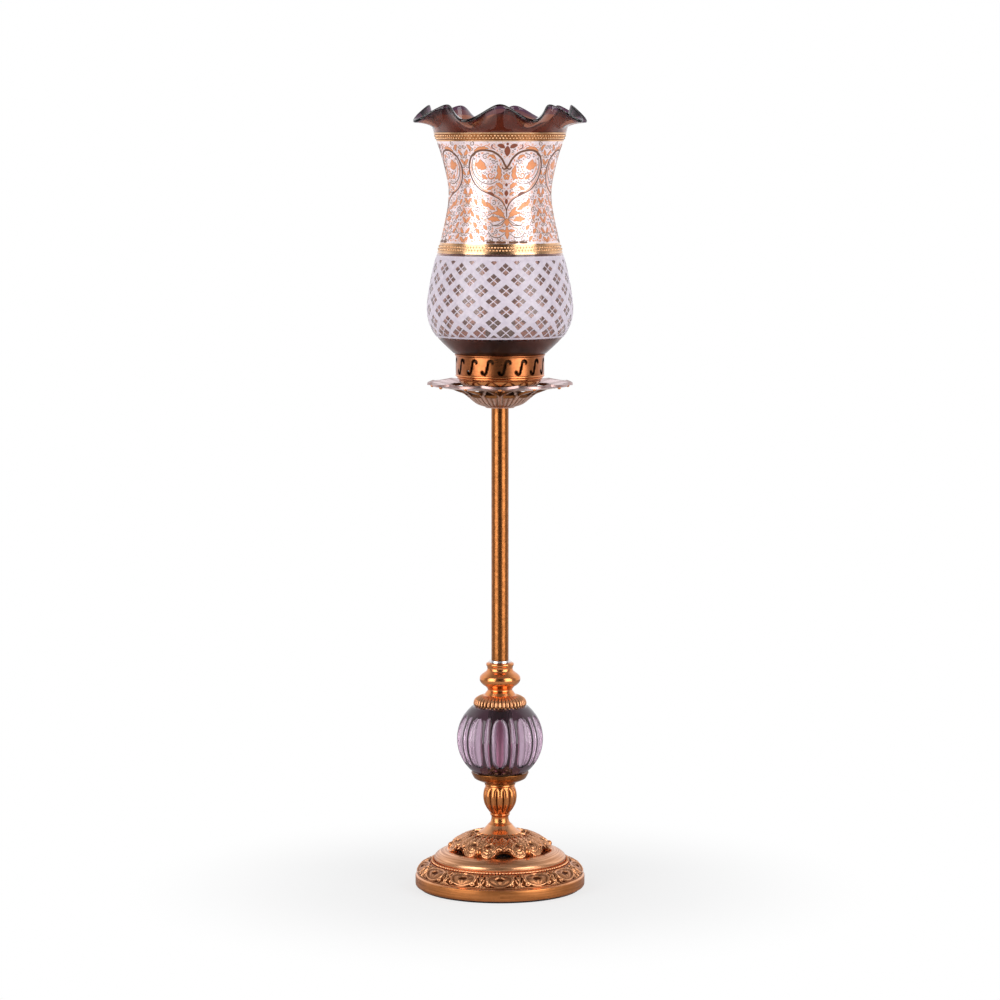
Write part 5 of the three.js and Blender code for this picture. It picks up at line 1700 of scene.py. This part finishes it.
# %% Strokes of the ornament
# A drawing's x runs round the shade, and its h up from the foot of the shade, both in millimetres.
ORNAMENTS = 4
ORNAMENT_TURN = 7.0
DRAWN_RADIUS = 47.0
THINNEST = 0.12
BETWEEN = DRAWN_RADIUS * math.pi / ORNAMENTS
HEART_LOBE, LOBE_OPEN = (19.5, 163.5), 5.5


def on_wall(x, h, lift):
    """Where places of the drawing lie on the wall."""
    angle = x / DRAWN_RADIUS
    r = wall_radius(shade_low + h) + lift
    return np.stack([r * np.sin(angle), -r * np.cos(angle), shade_low + h + 0 * x], axis=-1)


def ribbon(path, half_widths, lift):
    """A thin closed ribbon along a path in the drawing."""
    line = np.array(path, float)
    along = np.gradient(line, axis=0)
    along /= np.maximum(np.linalg.norm(along, axis=1), 1e-9)[:, None]
    side = np.stack([-along[:, 1], along[:, 0]], axis=1) * np.asarray(half_widths)[:, None]
    left, right = line + side, line - side
    corners = [(left, -0.05), (left, lift), (right, lift), (right, -0.05)]
    places = np.stack([on_wall(edge[:, 0], edge[:, 1], height) for edge, height in corners], axis=1)
    count = len(line)
    faces = grid_faces(count, 4, False, True)
    faces += [(0, 1, 2, 3), tuple(4 * (count - 1) + k for k in (3, 2, 1, 0))]
    return places.reshape(-1, 3), faces


class Drawing:
    """Collects strokes of each colour and knows which places are still bare."""

    def __init__(self):
        self.parts = {"gold": [], "line": [], "red": [], "dark": []}
        self.taken = []

    def bare(self, x, h, radius):
        places = np.array(self.taken)
        return bool(np.all(np.hypot(places[:, 0] - x, places[:, 1] - h) > places[:, 2] + radius))

    def stroke(self, colour, path, half_widths, lift=0.13, mirror=True, outline=0.0):
        """A ribbon along a path, and its mirror image if asked."""
        half_widths = np.broadcast_to(half_widths, len(path)).astype(float)
        self.taken += [(abs(x), h, width) for (x, h), width in zip(path, half_widths)]
        for sign in (1, -1) if mirror else (1,):
            placed = [(sign * x, h) for x, h in path]
            self.parts[colour].append(ribbon(placed, half_widths, lift))
            if outline:
                self.parts["line"].append(ribbon(placed, half_widths + outline, lift - 0.05))

    def vine(self, points, width, colour="line", steps=6, thin_ends=True):
        """A line through some points."""
        path = smooth(points, steps)
        share = np.linspace(0, 1, len(path))
        widths = width * (0.35 + 0.65 * np.sin(np.pi * share) ** 0.5 if thin_ends else 1 + 0 * share)
        self.stroke(colour, path, np.maximum(widths, THINNEST), 0.1)

    def curl(
        self, centre, radius, start, hand=1, turns=1.25, width=0.3, colour="line", mirror=True, steps=16
    ):
        """A line that winds in to its centre."""
        path = spiral(centre, radius, turns, start, hand, steps)
        self.stroke(colour, path, np.linspace(width, width * 0.5, steps), 0.1, mirror)

    def leaf(self, base, tip, width, bend=0.15, lobes=3, colour="gold", mirror=True, outline=0.28):
        """A lobed leaf along a bent midrib."""
        (x0, h0), (x1, h1) = base, tip
        middle = ((x0 + x1) / 2 - bend * (h1 - h0), (h0 + h1) / 2 + bend * (x1 - x0))
        share = np.linspace(0, 1, 7 + 4 * lobes)
        body = np.sin(np.pi * np.clip(share, 0.02, 0.98)) ** 0.75
        widths = width / 2 * body * (0.62 + 0.38 * np.abs(np.cos(lobes * np.pi * share)))
        path = [bow(base, middle, tip, s) for s in share]
        self.stroke(colour, path, np.maximum(widths, THINNEST), 0.15, mirror, outline)


print("the drawing is made for a wall of", DRAWN_RADIUS, "mm radius")


# %% The heart, the sprays and the columns
def draw_heart(pen):
    """A heart of two scrolls with what it holds."""
    outer = [(0, 117.7), (0.5, 125), (5.5, 132.2), (14.5, 136.8), (23.5, 140.8), (29.6, 146.8), (32.7, 154.8)]
    outer += [(32.4, 162.4), (28.6, 169.8), (21.4, 173.9), (13, 173.5), (7.6, 170.6), (4.0, 166.4)]
    outer += [(1.9, 162.2), (0.1, 159.4), (-1.8, 158.2), (-3.3, 158.8), (-3.8, 160.2)]
    outer = smooth(outer, 7)
    share = np.linspace(0, 1, len(outer))
    pen.stroke("dark", outer, np.interp(share, [0, 0.25, 0.6, 0.85, 1], [0.36, 0.52, 0.86, 0.74, 0.45]), 0.17)
    pen.leaf((25.0, 172.6), (30.4, 169.0), 2.4, -0.2, 1, "dark", outline=0)
    inner = [(1.4, 126.2), (6.2, 131.2), (15.1, 135.4), (24.4, 139.4), (31.0, 146.2), (34.2, 154.6)]
    inner = [(x - 3.2 * min(1, x / 12), h + 1.6) for x, h in [*inner, (33.9, 163.0)]]
    pen.vine(inner, 0.42, "gold", steps=7)
    pen.vine([(27.6, 168.6), (30.0, 161), (28.4, 153), (22.6, 147.4), (14.5, 145.6), (8, 148.2)], 0.4)
    pen.vine([(25, 166.5), (27.2, 160), (25.2, 153.6), (20, 150.6)], 0.35, "gold")
    pen.curl((0.0, 156.4), 1.21, 0, 1, 1.0, 0.3, mirror=False)
    pen.leaf((0, 169.2), (0, 177.6), 4.2, 0, 0, "red", mirror=False)
    pen.leaf((2.2, 176.0), (7.6, 178.4), 3.2, 0.2, 0, "red")
    pen.leaf((-1.0, 179.4), (1.0, 179.4), 1.8, 0, 0, "red", mirror=False)
    pen.vine([(9.2, 174.6), (11.8, 176.4), (11.4, 179.2)], 0.5, "red")
    pen.vine([(12.0, 174.8), (15.5, 178.4), (19.5, 176.6), (23.5, 178.8)], 0.35, "gold")
    pen.leaf((26.5, 173.2), (14.5, 175.6), 2.8, -0.2, 3)
    pen.curl((28.6, 174.8), 2.2, -60, 1)
    pen.leaf((17.2, 159.0), (27.0, 162.2), 7.6, 0.1, 3)
    pen.leaf((20.0, 157.6), (22.6, 166.2), 5.2, 0.1, 2)
    pen.leaf((6.6, 148.6), (7.4, 161.4), 4.0, 0.12, 3)
    pen.leaf((10.2, 150.2), (5.2, 154.8), 3.2, 0.2, 2)
    pen.curl((13.8, 152.8), 3.0, 200, 1, 1.4, 0.55, "gold")
    pen.curl((13.8, 152.8), 3.7, 200, 1, 1.3, 0.22)
    pen.leaf((16.8, 150.0), (21.4, 154.0), 3.0, -0.2, 2)
    pen.leaf((9.0, 166.2), (14.6, 169.8), 2.6, 0.3, 2)
    pen.curl((17.6, 168.6), 2.4, 120, -1)
    pen.curl((11.0, 164.0), 2.0, 30, 1)
    for petal in range(5):
        angle = math.radians(90 + 72 * petal)
        foot, tip = [(far * math.cos(angle), 151.8 + far * math.sin(angle)) for far in (0.5, 3.0)]
        pen.leaf(foot, tip, 2.1, 0, 0, "gold", mirror=False)
    pen.leaf((0, 143.6), (0, 146.4), 2.0, 0, 0, "red", mirror=False)
    pen.leaf((3.4, 141.4), (9.4, 146.2), 3.6, 0.25, 3)
    pen.leaf((17.5, 141.2), (12.0, 144.0), 2.6, 0.2, 2)
    pen.leaf((0, 135.4), (0, 140.4), 3.0, 0, 0, "red", mirror=False)
    pen.leaf((10.8, 136.0), (17.0, 138.6), 2.0, 0.1, 0, "red")
    pen.leaf((0, 128.6), (0, 133.2), 2.4, 0, 0, "red", mirror=False)
    pen.leaf((3.0, 136.0), (7.4, 138.8), 1.8, 0.2, 0)


def draw_sprays(pen):
    """Leaves and tendrils that hang below the heart, and two short dark bars that are a painted reflection."""
    pen.leaf((1.5, 117.0), (12.5, 121.0), 3.6, 0.3, 3)
    pen.leaf((6.0, 114.6), (16.2, 115.6), 4.4, 0.25, 3)
    pen.leaf((2.2, 120.4), (8.6, 126.4), 3.0, -0.2, 2)
    pen.leaf((10.0, 124.0), (17.6, 130.6), 3.4, -0.2, 3)
    pen.leaf((17.0, 126.6), (22.6, 133.6), 3.6, -0.15, 3)
    pen.leaf((0, 110.2), (0, 116.4), 4.6, 0, 2, "gold", mirror=False)
    pen.leaf((0, 99.4), (0, 109.6), 3.6, 0, 3, "gold", mirror=False)
    pen.leaf((0.8, 105.6), (6.6, 106.4), 2.4, 0.1, 2)
    pen.vine([(0, 117), (4.6, 111.4), (10.8, 110.6), (14.6, 113.6)], 0.35)
    tips = [(18, 119.4), (17.6, 116.4), (16.6, 113.0), (14, 110.2), (9.6, 108.0)]
    for (x, h), colour in zip(tips, ("gold", "line", "gold", "line", "gold")):
        pen.vine([(0.8, 116.4), (x * 0.5, h + 1.6), (x, h)], 0.3, colour)
    # Two short dark bars, mirrored, just above the lower gilt band: a painted reflection of the shade's
    # inside.
    for start, end in ((1.2, 8.6), (9.8, 16.4)):
        pen.vine([(start, 96.6), ((start + end) / 2, 96.3), (end, 96.7)], 0.95, "dark", thin_ends=False)
    pen.vine([(2, 104), (7, 100.6), (12.4, 101.6), (15.4, 105.6)], 0.35)
    pen.vine([(3, 98.4), (8.6, 96.8), (15, 98.4), (20, 96.6)], 0.3, "line")
    low_curls = [(9.6, 105.4, 1), (14.8, 108.6, -1), (19.6, 104.2, 1), (7.0, 99.6, -1), (13.2, 98.6, 1)]
    high_curls = [(20.4, 119.6, 1), (15.0, 121.4, -1), (22.6, 112.4, -1), (25.6, 123.6, 1), (11.4, 129.6, 1)]
    for curls, radius, start in ((low_curls, 1.9, 90), (high_curls, 2.3, 60)):
        for x, h, hand in curls:
            pen.curl((x, h), radius, start * hand, hand)
    for x, h in ((18.4, 108.6), (24.8, 105.6), (20.2, 99.4), (25.8, 117.2)):
        pen.leaf((x - 1.6, h - 1.8), (x + 1.8, h + 2.2), 2.6, 0.2, 2)


def draw_column(pen):
    """Leaves and curls that stand midway between two hearts."""
    for i, h in enumerate(np.arange(99.0, 178.0, 8.2)):
        hand = 1 if i % 2 else -1
        pen.leaf((BETWEEN - 0.6, h - 3.0), (BETWEEN - 4.2, h + 1.8), 2.5, 0.25 * hand, 3)
        pen.curl((BETWEEN - 1.8, h + 4.4), 1.9, 90 + 90 * hand, hand, 1.2, 0.3)
    beside = [(29.5, 101.5), (28.2, 110.5), (30.6, 120.5), (29.2, 130.0), (33.0, 139.5), (31.0, 176.0)]
    for i, (x, h) in enumerate(beside):
        hand = 1 if i % 2 else -1
        pen.leaf((x - 1.6, h - 2.2), (x + 1.2, h + 2.6), 2.8, 0.3 * hand, 3)
        pen.curl((x - 3.4, h + 3.8), 2.1, 120, hand, 1.2, 0.3)
        pen.curl((x + 2.6, h - 3.4), 1.7, 300, -hand, 1.2, 0.26, "gold")


def fill_bare_places(pen, tries=9000):
    """Small curls and leaves wherever the ground is still bare. The seed keeps them the same on each run."""
    dice = np.random.default_rng(11)
    drawn = 0
    for _ in range(tries):
        x, h = dice.uniform(1.6, BETWEEN - 1.4), dice.uniform(97.6, 179.2)
        radius, start, hand = dice.uniform(0.7, 1.4), dice.uniform(0, 360), dice.choice((-1, 1))
        in_lobe = math.dist((x, h), HEART_LOBE) < LOBE_OPEN
        if in_lobe or not pen.bare(x, h, radius + 0.3):
            continue
        if drawn % 5 < 2:
            along, up = radius * math.cos(math.radians(start)), radius * math.sin(math.radians(start))
            pen.leaf((x - along, h - up), (x + along, h + up), 1.3 * radius, 0.2 * hand, 1, outline=0)
        else:
            pen.curl((x, h), radius, start, hand, 1.1, 0.26, ("line", "gold", "line")[drawn % 3], steps=9)
        drawn += 1
    return drawn


pen = Drawing()
draw_heart(pen)
draw_sprays(pen)
draw_column(pen)
print("small curls and leaves:", fill_bare_places(pen))
PRINTS_AND_REFLECTION = {"gold": scroll_gold, "line": scroll_line, "red": scroll_red, "dark": scroll_dark}
for colour, finish in PRINTS_AND_REFLECTION.items():
    ornament = joined("scroll_" + colour, pen.parts[colour])
    repeated(ornament, ORNAMENTS, finish, first=ORNAMENT_TURN, weld=0.0001, sharp=50)
    dress(ornament, body="shade")

# %% [markdown]
# The dressed lamp is meant to fill the same box as the frame, so both boxes are printed.

# %% Sizes of the frame and the dressed lamp
visual_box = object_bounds()
for name, box in (("cad", cad_box), ("visual", visual_box)):
    print(name, "box", [round((b - a) * 1000, 1) for a, b in zip(*box)], "mm")
